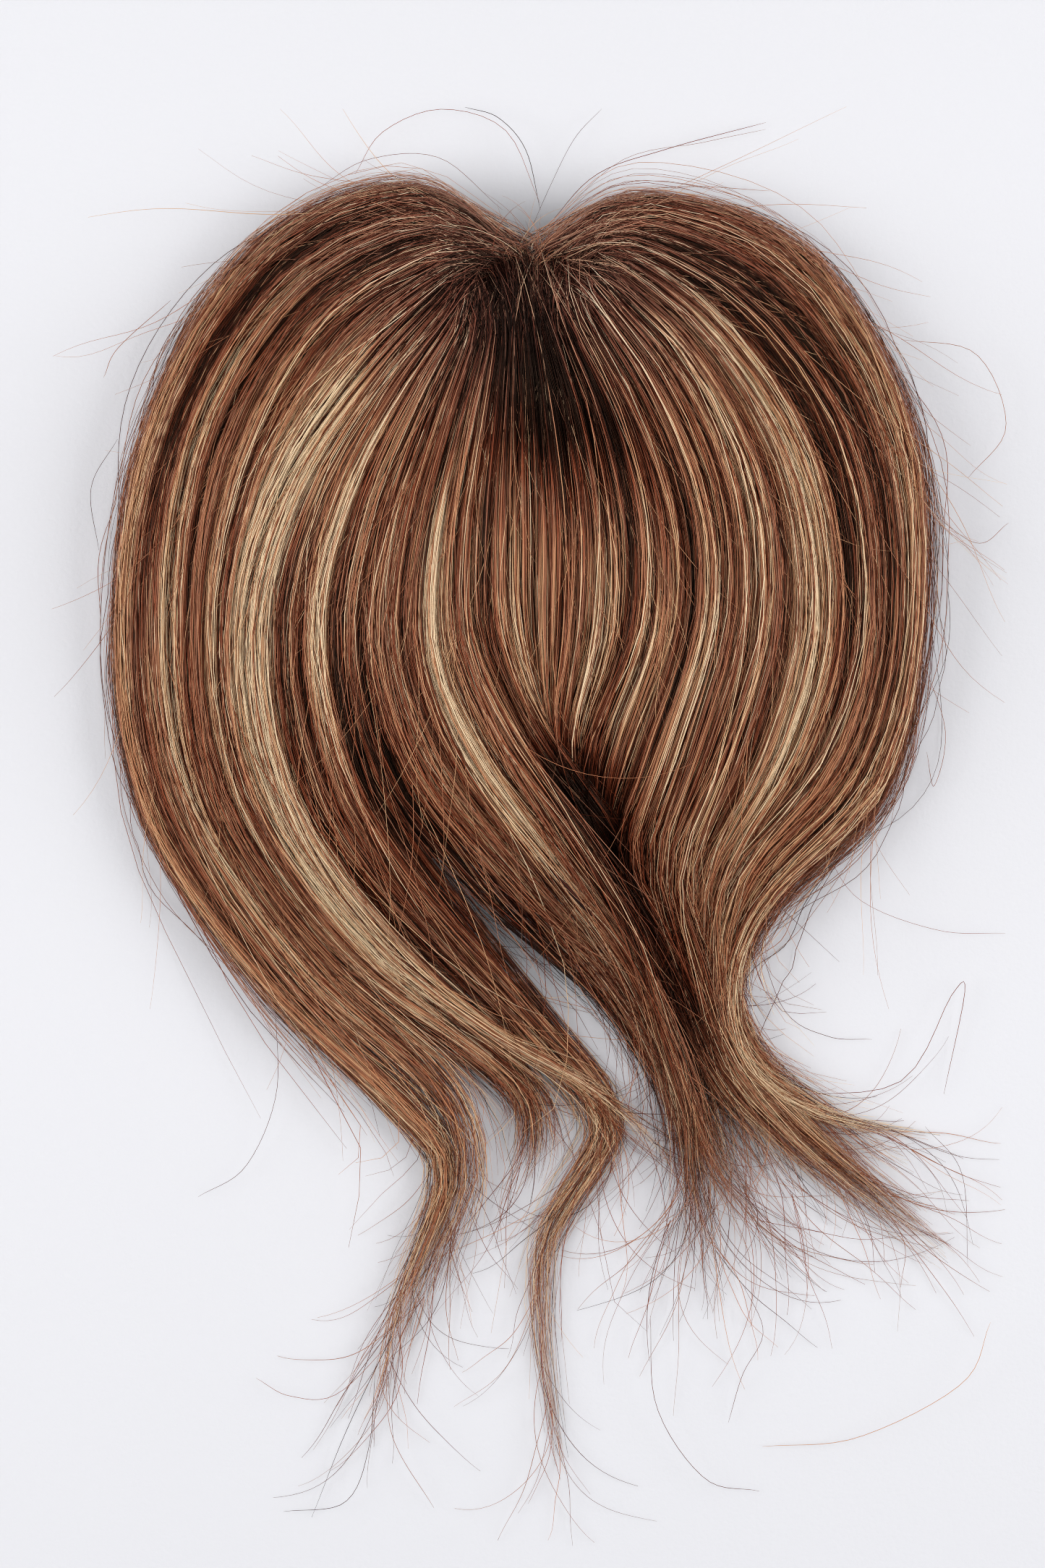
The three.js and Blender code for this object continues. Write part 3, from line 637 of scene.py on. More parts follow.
def strand_paths(body_name, low, high, count, seed, sizes):
    """Centres, widths, tones and runs of count strands of a body.

    A strand keeps a share of the row, swayed by its tuft's wave and its own. It lies a
    random depth under the height of the hair there, on the relief of the locks. Beyond the
    first and the last line it runs down the side of the body to the table. Where the tails
    part, it keeps its place in the width of its nearest tail, and its tip strays. Its tone is
    painted shade where it is darker the deeper it lies, on sunken tufts, in the valleys
    between locks and in the hollows under the crossing, and painted light where it is lighter
    on raised tufts and the backs of the locks. It is darker near the pockets at the roots,
    partly darker roots and partly painted shade, and at most roots, whose colour is darker."""
    body = BODIES[body_name]
    table = line_table(body)
    lines = len(table)
    rng = np.random.default_rng(seed)
    each = Draws(rng, count)
    width_mm, wave_mm, relief_mm = sizes.width / MM, sizes.wave / MM, sizes.relief / MM

    # Its share of the row, with its tuft, and how far it runs.
    tufts = max(8, count // TUFT_SIZE)
    tufted = Draws(rng, tufts)
    tuft = rng.integers(0, tufts, count)
    single = each.even() < SINGLE
    tuft_share = low + (high - low) * (np.arange(tufts) + rng.uniform(0, 1, tufts)) / tufts
    spread = rng.uniform(0.002, 0.012, tufts)[tuft]
    share0 = (tuft_share[tuft] + rng.normal(0, 1, count) * spread)[:, None]
    share0 = np.where(single, each.even(low, high), share0)
    nearest = np.clip(np.round(held(share0) * (lines - 1)), 0, lines - 1)
    leaving = np.array([LEAVING.get(name, 0.0) for name in body["lines"]])[nearest.astype(int)]
    nearest = nearest - (each.even() < leaving)
    tails = np.array([TAILS[name] for name in body["lines"]])[nearest[:, 0].astype(int)]
    tail_half, reaching, looseness, soon, lighter, ride = (tails[:, k : k + 1] for k in range(6))
    short_end = SHORT_RUN + LONGER * each.even() ** soon
    far_end = 1 - TAIL_SHORT * each.even()
    far = each.even() < reaching
    end = np.where(far, far_end, short_end)
    start = each.even(0, 0.012)
    run = start + (end - start) * STEPS

    # Its sway, with its tuft and by itself.
    astray = tufted.even() < ASTRAY
    swing = np.where(astray, tufted.even(2.5, 6.5), tufted.even(0.2, 1.3))
    tuft_wave = waves(rng, tufts, STEPS, (0.8, 1.6)) * swing
    loose = each.even() < SWAYING
    reach = np.where(loose, each.even(1.5, 5.0), each.even(0.1, 0.5) * wave_mm)
    own = waves(rng, count, run, (1.0, 1.7)) * reach
    sway = np.where(single, 0.0, tuft_wave[tuft]) + own
    share = share0 + sway / ROW_WIDTH * held(run / 0.15)
    drawn = 1 - np.abs(each.bell()) * looseness
    at, across = side_ways(table, share, run, nearest, drawn)

    # Its place in the ridge of the parting and in the width of the tail.
    tail = eased(DRAW, run)
    lateral = 3 * np.clip(nearest - share0 * (lines - 1), -0.5, 0.5) + each.bell(0.4)
    offset = lateral * tail_half * eased(SPREAD, run) * tail
    late = held((run / end - 0.55) / 0.45)
    stray = each.bell() ** 3 * 1.3 + each.bell() * 2.2
    offset += stray * np.where(far, 0.3, 1.0) * late**2 + waves(rng, count, run, (4.0,)) * late
    rooted = held(1 - run / 0.1) ** 2
    x = at[..., 0] + across[..., 0] * offset + each.bell(5.5) * rooted
    x = x + root_place(body_name, share, run)
    y = at[..., 1] + across[..., 1] * offset + each.bell(3.4, -2.6) * rooted

    # Its height, and the side of the body beyond its first and last line.
    ridge = relief_at(body_name, share, run)
    relief = ridge * relief_mm * held(run / 0.12)
    sunk = tufted.even() < SUNKEN
    tuft_lift = (tufted.even(-1.3, 0.7) + astray * 0.8 - sunk * 1.5)[tuft]
    tuft_lift = np.where(single, each.even(-1.2, 0.9), tuft_lift)
    lift = tuft_lift + waves(rng, count, run, (1.2,)) * 0.3
    top = hair_height(body, held(share), run, x, y) + (relief + lift) * (1 - 0.6 * tail) - 0.8
    round_tail = np.sqrt(np.maximum(0.05, 1 - np.minimum(1, np.abs(lateral) / 2.4) ** 2))
    top = (top * (1 - tail * (1 - round_tail)) + ride * tail) * (1 - bells_at(SAGS, x, y))
    depth = each.even() ** 1.5
    height = top - depth * np.minimum(np.maximum(top - 0.4, 0), eased(LAYER, run))
    beyond = held(np.maximum(-share, share - 1) / 0.05)
    outward = np.where(share < 0.5, -1.0, 1.0) * (1.5 * np.sqrt(beyond) - 1.2)
    outward = outward * (beyond > 0) * (1 - tail)
    x -= across[..., 0] * outward
    y -= across[..., 1] * outward
    height = height * (1 - beyond**1.3 * (1 - tail)) + 0.3
    dome = dome_height(x, y)
    height = np.maximum(height, np.where(dome > 0, dome + 0.8, 0.3))

    centres = np.stack([x, y, height], -1) + PARTING
    taper = held((1 - STEPS) / 0.25) ** 0.7
    widths = width_mm * each.even(0.6, 1.15) * (0.3 + 0.7 * taper)
    widths = widths * (0.6 + 0.4 * held(run / 0.1))
    widths = widths * (0.72 + 0.28 * held((0.92 - run) / 0.3))
    keen = each.even(0.55, 1.4) * np.where(each.even() < PLAIN, 0.1, 1.0)
    # Sunken tufts are darker: painted shade.
    tuft_tone = (tufted.bell(0.12) - 0.18 * sunk)[tuft]
    tuft_tone = np.where(single, each.bell(0.12), tuft_tone)
    tone = MIDDLE_TONE + tone_at(body_name, share, run) * keen + tuft_tone + each.bell(0.08)
    rooty = held((0.28 - run) / 0.18)
    tone = tone + rooty * (rng.choice(ROOT_TONES, each.size, p=ROOT_ODDS) - 0.03)
    # Painted light and shade: lighter on the backs of the locks and on raised tufts, darker in the
    # valleys between locks and the deeper a strand lies.
    tone = tone + 0.4 * np.minimum(ridge, 0.3) + 0.06 * tuft_lift - 0.32 * depth
    kind = each.even()
    tone = tone + np.where(kind < LIGHTER, each.even(0.15, 0.4), 0)
    tone = tone - np.where(kind > 1 - DARKER, each.even(0.15, 0.45), 0) + lighter * tail
    # Painted shade in the hollows under the crossing; the pockets at the roots are partly darker
    # roots and partly painted shade.
    dark = bells_at(POCKETS, x, y)
    if body["rise"] <= 0:
        dark = dark + bells_at(HOLLOW_SHADE, x, y)
    tone = tone - each.even(0.25, 1.1) * dark
    tone = tone + 0.19 * np.sin(4.4 * lateral + 1.3 * nearest) * tail
    return centres, widths, np.clip(tone, 0.02, 0.97), run


# Widths of the fine hairs in millimetres, and the darkest and lightest tone that they have.
FRINGE_WIDTH, LOOSE_WIDTH, SPRAY_WIDTH = 0.16, 0.17, 0.14
FINE_TONES = (0.05, 0.95)


def fringe_paths(count, seed):
    """Fine hairs that spring from the parting in higher arcs than the rest: outside the
    first line on the left and the last on the right, by a share of the way to the next
    line that dies away along the run."""
    rng = np.random.default_rng(seed)
    found = []
    for body_name, side in (("hair_left", 0), ("hair_right", 1)):
        body, many = BODIES[body_name], count // 2
        each = Draws(rng, many)
        table = line_table(body)
        first, second = (table[0], table[1]) if side == 0 else (table[-1], table[-2])
        end = each.even(0.18, 0.62)
        run = end * STEPS
        out = rng.exponential(0.24, (many, 1)) * np.exp(-run / 0.16)
        out = out - each.even(0, 0.5) * held(run / 0.2)
        at = held(run) * FINE
        step = np.clip(np.floor(at).astype(int), 0, FINE - 1)
        part = (at - step)[..., None]
        near = first[step] * (1 - part) + first[step + 1] * part
        far = second[step] * (1 - part) + second[step + 1] * part
        place = near + (near - far) * out[..., None]
        wander = np.stack([waves(rng, many, run / end, (0.8, 1.7)) for _ in range(2)], -1)
        place = place + wander * rng.uniform(0.3, 2.2, (many, 1, 1)) * STEPS[..., None]
        rooted = (held(1 - run / 0.08) ** 2)[..., None]
        place = place + rng.normal(0, 1, (many, 1, 2)) * np.array([3.5, 1.2]) * rooted
        share = np.full(run.shape, float(side))
        top = hair_height(body, share, run, near[..., 0], near[..., 1])
        bow = np.sin(np.pi * held(run / end)) * each.even(-2, 6)
        found.append((np.concatenate([place, np.maximum(top + bow, 2.0)[..., None]], -1), run))
    centres, runs = (np.concatenate(parts) for parts in zip(*found))
    every = Draws(rng, len(centres))
    taper = held((1 - STEPS) / 0.5) ** 0.6
    widths = FRINGE_WIDTH * every.even(0.6, 1.2) * (0.3 + 0.7 * taper)
    tones = np.clip(0.55 + every.bell(0.14) + 0 * STEPS, *FINE_TONES)
    return centres + PARTING, widths, tones, runs


def loose_paths(count, seed):
    """Hairs that stand off the outline, by a bulge that rises and dies along their run, and
    the loose hairs that are placed one by one."""
    rng = np.random.default_rng(seed)
    found = []
    for body_name, edge, side, part, low, high, most in (
        ("hair_left", 0.0, 1.0, 0.35, 0.05, 0.45, 1.5),
        ("hair_right", 1.0, -1.0, 0.35, 0.05, 0.45, 1.5),
        ("hair_right", 1.0, -1.0, 0.3, 0.36, 0.5, 2.6),
    ):
        body, many = BODIES[body_name], int(count * part)
        each = Draws(rng, many)
        table = line_table(body)
        first = each.even(low, high)
        run = first + each.even(0.12, 0.32) * STEPS
        share = edge + 0 * run
        at, across = side_ways(table, share, run, edge * (len(table) - 1), 1.0)
        bulge = np.sin(np.pi * STEPS) ** 1.5 * rng.gamma(1.2, most, (many, 1))
        drift = STEPS**2 * each.bell(3.0) + waves(rng, many, STEPS, (1.0, 2.1)) * 1.2
        offset = side * (bulge + np.abs(drift) - 0.8)
        x = at[..., 0] + across[..., 0] * offset
        y = at[..., 1] + across[..., 1] * offset
        top = hair_height(body, share, run, x, y)
        height = np.maximum(top * each.even(0.3, 0.9) - np.abs(offset) * 0.5, 0.8)
        found.append((np.stack([x, y, height], -1), run))
    for points in LOOSE_HAIRS:
        place = np.linspace(0, len(points) - 1, STRAND_RINGS)
        path = smooth_path(np.array(points, float), place)[None]
        start = hair_height(BODIES["hair_left"], 0.3, 0.3, path[..., 0], path[..., 1])
        height = np.maximum(1.5, start * 0.8 * (1 - STEPS) ** 2) + 2.5 * np.sin(np.pi * STEPS)
        found.append((np.concatenate([path, height[..., None]], -1), 0.4 + 0 * STEPS))
    centres, runs = (np.concatenate(parts) for parts in zip(*found))
    every = Draws(rng, len(centres))
    ends = held(np.minimum(STEPS, 1 - STEPS) / 0.2) ** 0.5
    widths = LOOSE_WIDTH * every.even(0.7, 1.3) * (0.35 + 0.65 * ends)
    tones = rng.choice((0.22, 0.54), every.size) + every.bell(0.09) + 0 * STEPS
    return centres + PARTING, widths, np.clip(tones, *FINE_TONES), runs


# Fine hairs that set out from a line by themselves: their line, the range of the run that
# they leave it in, how many, the spread of their turn in degrees and of their bend in turns
# a metre, and their shortest and longest length in millimetres.
WISPS = (
    ("left_edge", 0.7, 0.97, 46, 16, 3.0, 18, 60),
    ("left_outer", 0.7, 0.94, 34, 18, 3.0, 15, 55),
    ("left_band", 0.68, 0.98, 22, 18, 3.0, 15, 50),
    ("left_streak", 0.7, 0.98, 26, 16, 3.0, 15, 55),
    ("left_middle", 0.72, 0.985, 48, 15, 3.0, 18, 60),
    ("left_inner", 0.66, 0.95, 30, 18, 3.0, 15, 60),
    ("left_inner", 0.54, 0.68, 44, 9, 2.0, 35, 80),
    ("left_middle", 0.5, 0.64, 30, 10, 2.0, 30, 70),
    ("left_sweep", 0.7, 0.96, 36, 20, 3.0, 20, 65),
    ("left_last", 0.72, 0.96, 26, 20, 3.0, 20, 65),
    ("centre_left", 0.68, 0.95, 26, 16, 3.0, 20, 70),
    ("centre_middle", 0.68, 0.95, 26, 18, 3.0, 20, 70),
    ("centre_right", 0.68, 0.95, 26, 18, 3.0, 20, 70),
    ("right_inner", 0.7, 0.97, 28, 16, 3.0, 20, 65),
    ("right_middle", 0.72, 0.985, 44, 14, 3.0, 18, 55),
    ("right_streak", 0.72, 0.97, 24, 16, 3.0, 18, 60),
    ("right_outer", 0.7, 0.97, 20, 16, 3.0, 18, 60),
    ("right_edge", 0.66, 0.97, 30, 14, 3.0, 18, 60),
)

# Hairs that stray over the top of each body: the range of the run that they begin in, and
# how many for each of its lines.
STRAYS = {"hair_left": (0.0, 0.56, 34), "hair_centre": (0.0, 0.3, 20), "hair_right": (0.0, 0.46, 36)}

# How far the fine hairs may reach from the parting: to the left and down, and to the right
# and up.
REACH_LOW, REACH_HIGH = np.array([-137.0, -376.0]), np.array([139.0, 42.0])


def walk(heading, length):
    """Places along a hair that sets out from 0, 0 and takes even steps, each one in the
    heading there."""
    step = np.stack([np.cos(heading), np.sin(heading)], -1)
    step = step * (length / (STRAND_RINGS - 1))[..., None]
    return np.cumsum(step, axis=1) - step


def wisp_paths(seed):
    """Fine hairs that leave their line by themselves: each one sets out turned by some
    degrees from it and bends evenly, with a slow sway. One that would reach too far is
    shrunk about its start."""
    rng = np.random.default_rng(seed)
    found = []

    def lay(body, table, share, start, turn, bend, length, over):
        """Adds hairs from starts along the run, over the hair or falling to the table."""
        many = len(start)
        each = Draws(rng, many)
        at, across = side_ways(table, share, start, share * (len(table) - 1), 1.0)
        heading = np.arctan2(across[..., 0], -across[..., 1]) + np.radians(turn)
        way = length * STEPS
        sway = waves(rng, many, STEPS, (1.3,)) * each.even(0.02, 0.25)
        heading = heading + 2 * np.pi * bend / 1000 * way + sway * STEPS
        moved = walk(heading, length)
        room = np.where(moved > 0, REACH_HIGH - at, at - REACH_LOW)
        room = room / np.maximum(np.abs(moved), 0.01)
        shrink = np.clip(room.reshape(many, -1).min(1), 0.05, 1)[:, None, None]
        place = at + rng.normal(0, 0.5, (many, 1, 2)) + moved * shrink
        run = held(start + way / 420)
        top = hair_height(body, share, run, place[..., 0], place[..., 1])
        first = hair_height(body, share, start, at[..., 0], at[..., 1])
        lying = np.maximum(first * 0.8 * (1 - STEPS) ** 1.5, 0.6)
        rise = np.sin(np.pi * STEPS) * each.even(0.3, 3.0)
        height = np.maximum(top - 0.4, 0.8) + rise * 0.7 if over else lying + rise
        middle = (0.7, 0.6) if over else (0.28, 0.56)
        tone = rng.choice(middle, (many, 1)) + each.bell(0.09) + 0 * STEPS
        found.append((np.concatenate([place, height[..., None]], -1), tone, run))

    for name, low, high, many, turn, bend, short, long in WISPS:
        body_name = next(key for key, body in BODIES.items() if name in body["lines"])
        body, each = BODIES[body_name], Draws(rng, many)
        share = body["lines"].index(name) / (len(body["lines"]) - 1) + np.zeros((many, 1))
        lay(body, line_table(body), share, each.even(low, high), each.bell(turn),
            each.bell(bend), each.even(short, long), False)
    for body_name, (low, high, number) in STRAYS.items():
        body = BODIES[body_name]
        each = Draws(rng, number * len(body["lines"]))
        lay(body, line_table(body), each.even(0.02, 0.98), each.even(low, high),
            each.bell(4.5), each.bell(1.0), each.even(30, 100), True)

    centres, tones, runs = (np.concatenate(parts) for parts in zip(*found))
    every = Draws(rng, len(centres))
    widths = LOOSE_WIDTH * every.even(0.7, 1.3) * (0.4 + 0.6 * held((1 - STEPS) / 0.5))
    return centres + PARTING, widths, np.clip(tones, *FINE_TONES), runs


# The furthest that a hair of the spray reaches up the row, in millimetres.
SPRAY_REACH = 40


def spray_paths(count, seed):
    """Fine hairs that stand up from the ridge of the parting and bend over to either side,
    up to a quarter of a turn over their length. One that would reach too far is made smaller."""
    each = Draws(np.random.default_rng(seed), count)
    side = np.where(each.even() < 0.5, -1.0, 1.0)
    lean = np.abs(each.bell(38))
    length = each.even(8, 46) * np.clip(lean / 40, 0.45, 1)
    heading = np.radians(90 - side * lean) - side * each.even(0, 1.5) * STEPS
    moved = walk(heading, length)
    start = np.stack([each.bell(4.5), each.bell(2.5, -3)], -1)
    fitting = SPRAY_REACH / np.maximum(moved[..., 1].max(1), SPRAY_REACH)
    place = start + moved * fitting[:, None, None]
    mound = mound_height(place[..., 0], place[..., 1])
    height = ROOT_HEIGHT + (mound - ROOT_HEIGHT) * held(np.abs(place[..., 0]) / 45)
    height = np.maximum(height * (1 - 0.4 * STEPS), 6) + np.sin(np.pi * STEPS) * each.even(0, 6)
    centres = np.concatenate([place, height[..., None]], -1) + PARTING
    widths = SPRAY_WIDTH * each.even(0.7, 1.2) * (0.35 + 0.65 * held((1 - STEPS) / 0.5))
    tones = np.clip(0.62 + each.bell(0.16) + 0 * STEPS, *FINE_TONES)
    return centres, widths, tones, 0.1 + 0.2 * STEPS.repeat(count, 0)


# The bed's faces across the row and along the run, and how deep it lies under the height of
# the hair, in millimetres.
BED_ACROSS = 64
BED_ALONG = 90
BED_DEPTH = 3.4


def bed_object(name, body_name, sizes):
    """The opaque bed of a body's hair under its strands: a closed skin between a top BED_DEPTH
    under the hair's height and a foot on the table or on the base, over the shares of the
    row from side to side and the run as far as BED_ENDS, its top falling to its foot at the
    sides and at the end. Its tone is kept low, a dark brown that is painted shade of the
    depths under the strands; half the locks' tones are added, and it is darker still in the
    pockets at the roots and, as painted shade, in the hollows under the crossing."""
    body = BODIES[body_name]
    table = line_table(body)
    lines = len(table)
    u = np.linspace(0.02, 0.98, BED_ACROSS + 1)[:, None]
    ends = np.array(BED_ENDS[body_name])
    end = np.interp(u, np.linspace(0, 1, len(ends)), ends)
    end = end + 0.02 * np.sin(61 * u) + 0.015 * np.sin(143 * u + 1)
    v = 0.004 + (end - 0.004) * np.linspace(0, 1, BED_ALONG + 1)[None, :]
    share, run = np.broadcast_arrays(u, v)
    nearest = np.round(share * (lines - 1))
    at = row_point(table, share, run, nearest, 0.6)
    x, y = at[..., 0] + 0.7 * root_place(body_name, share, run), at[..., 1]
    relief = relief_at(body_name, share, run) * sizes.relief / MM
    relief *= held(run / 0.12)
    top = hair_height(body, share, run, x, y) + relief - BED_DEPTH
    across = np.linspace(0, 1, BED_ACROSS + 1)[:, None]
    along = np.linspace(0, 1, BED_ALONG + 1)[None, :]
    edge = np.sqrt(held(np.minimum(across, 1 - across) / 0.05))
    edge = edge * np.sqrt(held((1 - along) / 0.2)) * np.sqrt(held(along / 0.03))
    dome = dome_height(x, y)
    foot = np.where(dome > 0, np.maximum(dome + 0.6, 1.2), 1.2)
    if body["rise"] > 0:
        ridden = held((share - body["rise_from"]) / (1 - body["rise_from"]))
        foot = np.maximum(foot, (top - 4.0) * held(ridden * 3) * eased(CROSSING, run))
    top = np.maximum(foot + 0.3, foot + (top - foot) * edge)
    shape = top.shape
    upper = np.stack([x, y, top], -1).reshape(-1, 3)
    lower = np.stack([x, y, foot], -1).reshape(-1, 3)
    points = (np.concatenate([upper, lower]) + PARTING) * MM
    rows, columns = shape
    grid = np.arange(rows * columns).reshape(shape)
    a, b = grid[:-1, :-1].ravel(), grid[1:, :-1].ravel()
    c, d = grid[1:, 1:].ravel(), grid[:-1, 1:].ravel()
    below = rows * columns
    faces = [np.stack([a, d, c, b], -1), np.stack([a, b, c, d], -1) + below]
    ring = np.concatenate([grid[:, 0], grid[-1, 1:], grid[-2::-1, -1], grid[0, -2:0:-1]])
    after = np.roll(ring, -1)
    faces.append(np.stack([ring, after, after + below, ring + below], -1))
    thing = mesh_object(name, points, np.concatenate(faces))
    flat = np.stack(np.broadcast_arrays(across, along), -1).reshape(-1, 2)
    map_faces(thing, np.concatenate([flat * (1, 0.49) + (0, 0.005), flat * (1, 0.49) + (0, 0.505)]))
    # Painted shade: the bed is dark for the depths under the strands, darker in the pockets and the
    # hollows.
    tone = 0.1 + 0.5 * tone_at(body_name, share, run) - 0.5 * bells_at(POCKETS, x, y)
    if body["rise"] <= 0:
        tone = tone - 0.8 * bells_at(HOLLOW_SHADE, x, y)
    for key, values in (("tone", tone), ("run", run)):
        attribute = thing.data.attributes.new(key, "FLOAT", "POINT")
        both = np.concatenate([values.ravel(), values.ravel()])
        attribute.data.foreach_set("value", both.astype(np.float32))
    return thing


def add_node(tree, kind, settings=None, **links):
    """Adds a shader node, sets its properties, and links or sets its inputs. An input is
    given by its name with _ for a space, or by i and its number."""
    node = tree.nodes.new("ShaderNode" + kind)
    for key, value in (settings or {}).items():
        setattr(node, key, value)
    for key, value in links.items():
        numbered = key[0] == "i" and key[1:].isdigit()
        socket = node.inputs[int(key[1:]) if numbered else key.replace("_", " ")]
        if isinstance(value, bpy.types.NodeSocket):
            tree.links.new(value, socket)
        else:
            socket.default_value = value
    return node


def new_material(name):
    """An empty material and its node tree."""
    material = bpy.data.materials.new(name)
    material.use_nodes = True
    tree = material.node_tree
    tree.nodes.clear()
    return material, tree


def hair_ramp(tree, tone, colours):
    """The colours of the hair from the darkest strand to the lightest."""
    ramp = add_node(tree, "ValToRGB", Fac=tone)
    stops = (
        (0.0, colours.dark), (0.15, colours.deep), (0.28, colours.brown), (0.42, colours.chestnut),
        (0.53, colours.ashen), (0.65, colours.copper), (0.8, colours.blonde), (0.95, colours.pale),
    )
    elements = ramp.color_ramp.elements
    while len(elements) < len(stops):
        elements.new(0.5)
    for element, (position, colour) in zip(elements, stops):
        element.position = position
        element.color = list(colour)
    return ramp.outputs["Color"]


def root_ashen(tree, colour, run):
    """The hair's colour, greyer near the roots, where it was not lightened."""
    near = add_node(tree, "MapRange", {"clamp": True}, Value=run, From_Min=0.04, From_Max=0.2,
                    To_Min=0.86, To_Max=1.0)
    grey = add_node(tree, "HueSaturation", Color=colour, Saturation=near.outputs["Result"])
    return grey.outputs["Color"]


def strand_material(colours):
    """Human hair, coloured and lightened in foils, brushed smooth. To the eye it is a satin
    fibre: brown to blonde from strand to strand, with a soft shine across the strands."""
    material, tree = new_material("coloured_hair_strands")
    place = add_node(tree, "UVMap", {"uv_map": "OFBake"})
    parts = add_node(tree, "SeparateXYZ", Vector=place.outputs["UV"])
    colour = root_ashen(tree, hair_ramp(tree, parts.outputs["X"], colours), parts.outputs["Y"])
    surface = add_node(tree, "BsdfPrincipled", Base_Color=colour, Roughness=0.3, IOR=1.48,
                       Specular_Tint=linear("#e8bfa2"))
    add_node(tree, "OutputMaterial", Surface=surface.outputs["BSDF"])
    return material


def bed_material(colours):
    """The same hair, packed close: streaks 0.5 mm wide, coarser than the 0.07 mm of one
    hair, so that they show. Its tone attribute keeps it mostly dark, painted shade of the
    depths under the strands."""
    material, tree = new_material("coloured_hair_packed")
    place = add_node(tree, "UVMap", {"uv_map": "OFBake"})
    stretch = add_node(tree, "Mapping", Vector=place.outputs["UV"], Scale=(220.0, 7.0, 1.0))
    streak = add_node(tree, "TexNoise", Vector=stretch.outputs["Vector"], Scale=1.0, Detail=3.0,
                      Roughness=0.6)
    tone = add_node(tree, "Attribute", {"attribute_name": "tone"})
    run = add_node(tree, "Attribute", {"attribute_name": "run"})
    off = add_node(tree, "Math", {"operation": "MULTIPLY_ADD"}, i0=streak.outputs["Fac"],
                   i1=0.9, i2=-0.5)
    both = add_node(tree, "Math", {"operation": "ADD", "use_clamp": True}, i0=tone.outputs["Fac"],
                    i1=off.outputs["Value"])
    colour = root_ashen(tree, hair_ramp(tree, both.outputs["Value"], colours), run.outputs["Fac"])
    bump = add_node(tree, "Bump", Strength=0.8, Distance=0.0006, Height=streak.outputs["Fac"])
    surface = add_node(tree, "BsdfPrincipled", Base_Color=colour, Roughness=0.6, IOR=1.3,
                       Normal=bump.outputs["Normal"])
    add_node(tree, "OutputMaterial", Surface=surface.outputs["BSDF"])
    return material


def net_material():
    """Polyamide net, woven and heat set: matt brown threads 1.6 mm apart over darker
    openings, drawn coarser than the real 0.8 mm so that they show."""
    material, tree = new_material("polyamide_net_woven")
    place = add_node(tree, "TexCoord")
    waves_made = []
    for turn in (math.radians(45), math.radians(-45)):
        turned = add_node(tree, "Mapping", Vector=place.outputs["Object"], Rotation=(0, 0, turn))
        wave = add_node(tree, "TexWave", {"wave_type": "BANDS", "bands_direction": "X"},
                        Vector=turned.outputs["Vector"], Scale=math.pi / 10 / 0.0016, Distortion=0.0)
        waves_made.append(wave.outputs["Fac"])
    thread = add_node(tree, "Math", {"operation": "MAXIMUM"}, i0=waves_made[0], i1=waves_made[1])
    mix = add_node(tree, "Mix", {"data_type": "RGBA"}, i0=thread.outputs["Value"],
                   i6=linear("#241812"), i7=linear("#5a4033"))
    bump = add_node(tree, "Bump", Strength=0.7, Distance=0.0004, Height=thread.outputs["Value"])
    surface = add_node(tree, "BsdfPrincipled", Base_Color=mix.outputs[2], Roughness=0.85, IOR=1.53,
                       Normal=bump.outputs["Normal"])
    add_node(tree, "OutputMaterial", Surface=surface.outputs["BSDF"])
    return material


def clip_material():
    """Spring steel, stamped and lacquered brown: a satin coat, worn a little lighter in
    scratches about 1 mm wide, coarser than real ones, so that they show."""
    material, tree = new_material("spring_steel_lacquered")
    place = add_node(tree, "TexCoord")
    stretch = add_node(tree, "Mapping", Vector=place.outputs["Object"], Scale=(900.0, 260.0, 260.0))
    scratch = add_node(tree, "TexNoise", Vector=stretch.outputs["Vector"], Scale=1.0, Detail=4.0)
    rough = add_node(tree, "MapRange", Value=scratch.outputs["Fac"], To_Min=0.28, To_Max=0.5)
    mix = add_node(tree, "Mix", {"data_type": "RGBA"}, i0=scratch.outputs["Fac"],
                   i6=linear("#2c1d16"), i7=linear("#4b362b"))
    surface = add_node(tree, "BsdfPrincipled", Base_Color=mix.outputs[2],
                       Roughness=rough.outputs["Result"], Metallic=0.4)
    add_node(tree, "OutputMaterial", Surface=surface.outputs["BSDF"])
    return material


def table_material():
    """Painted board, rolled: matt off-white with a fine orange-peel grain 1.5 mm across."""
    material, tree = new_material("painted_board_rolled")
    place = add_node(tree, "TexCoord")
    grain = add_node(tree, "TexNoise", Vector=place.outputs["Object"], Scale=650.0, Detail=3.0)
    bump = add_node(tree, "Bump", Strength=0.25, Distance=0.0004, Height=grain.outputs["Fac"])
    surface = add_node(tree, "BsdfPrincipled", Base_Color=linear("#d5d5d9"), Roughness=0.75,
                       Normal=bump.outputs["Normal"])
    add_node(tree, "OutputMaterial", Surface=surface.outputs["BSDF"])
    return material


def dress(thing, material, slot, *nodes):
    """Gives a new piece its material and lets it ride and stand for its nodes; slot is not used."""
    thing.data.materials.append(material)
    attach(thing, "root")
    if nodes:
        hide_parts(*nodes)


class HAIR_OT_bed(bpy.types.Operator):
    """Lays the opaque bed of hair of each body"""

    bl_idname = "hair_topper.bed"
    bl_label = "Bed of hair"

    def execute(self, context):
        scene = context.scene
        material = bed_material(scene.hair_colours)
        for body_name in BODIES:
            name = body_name.replace("hair", "bed")
            dress(bed_object(name, body_name, scene.hair_sizes), material, "hair", body_name)
        return {"FINISHED"}


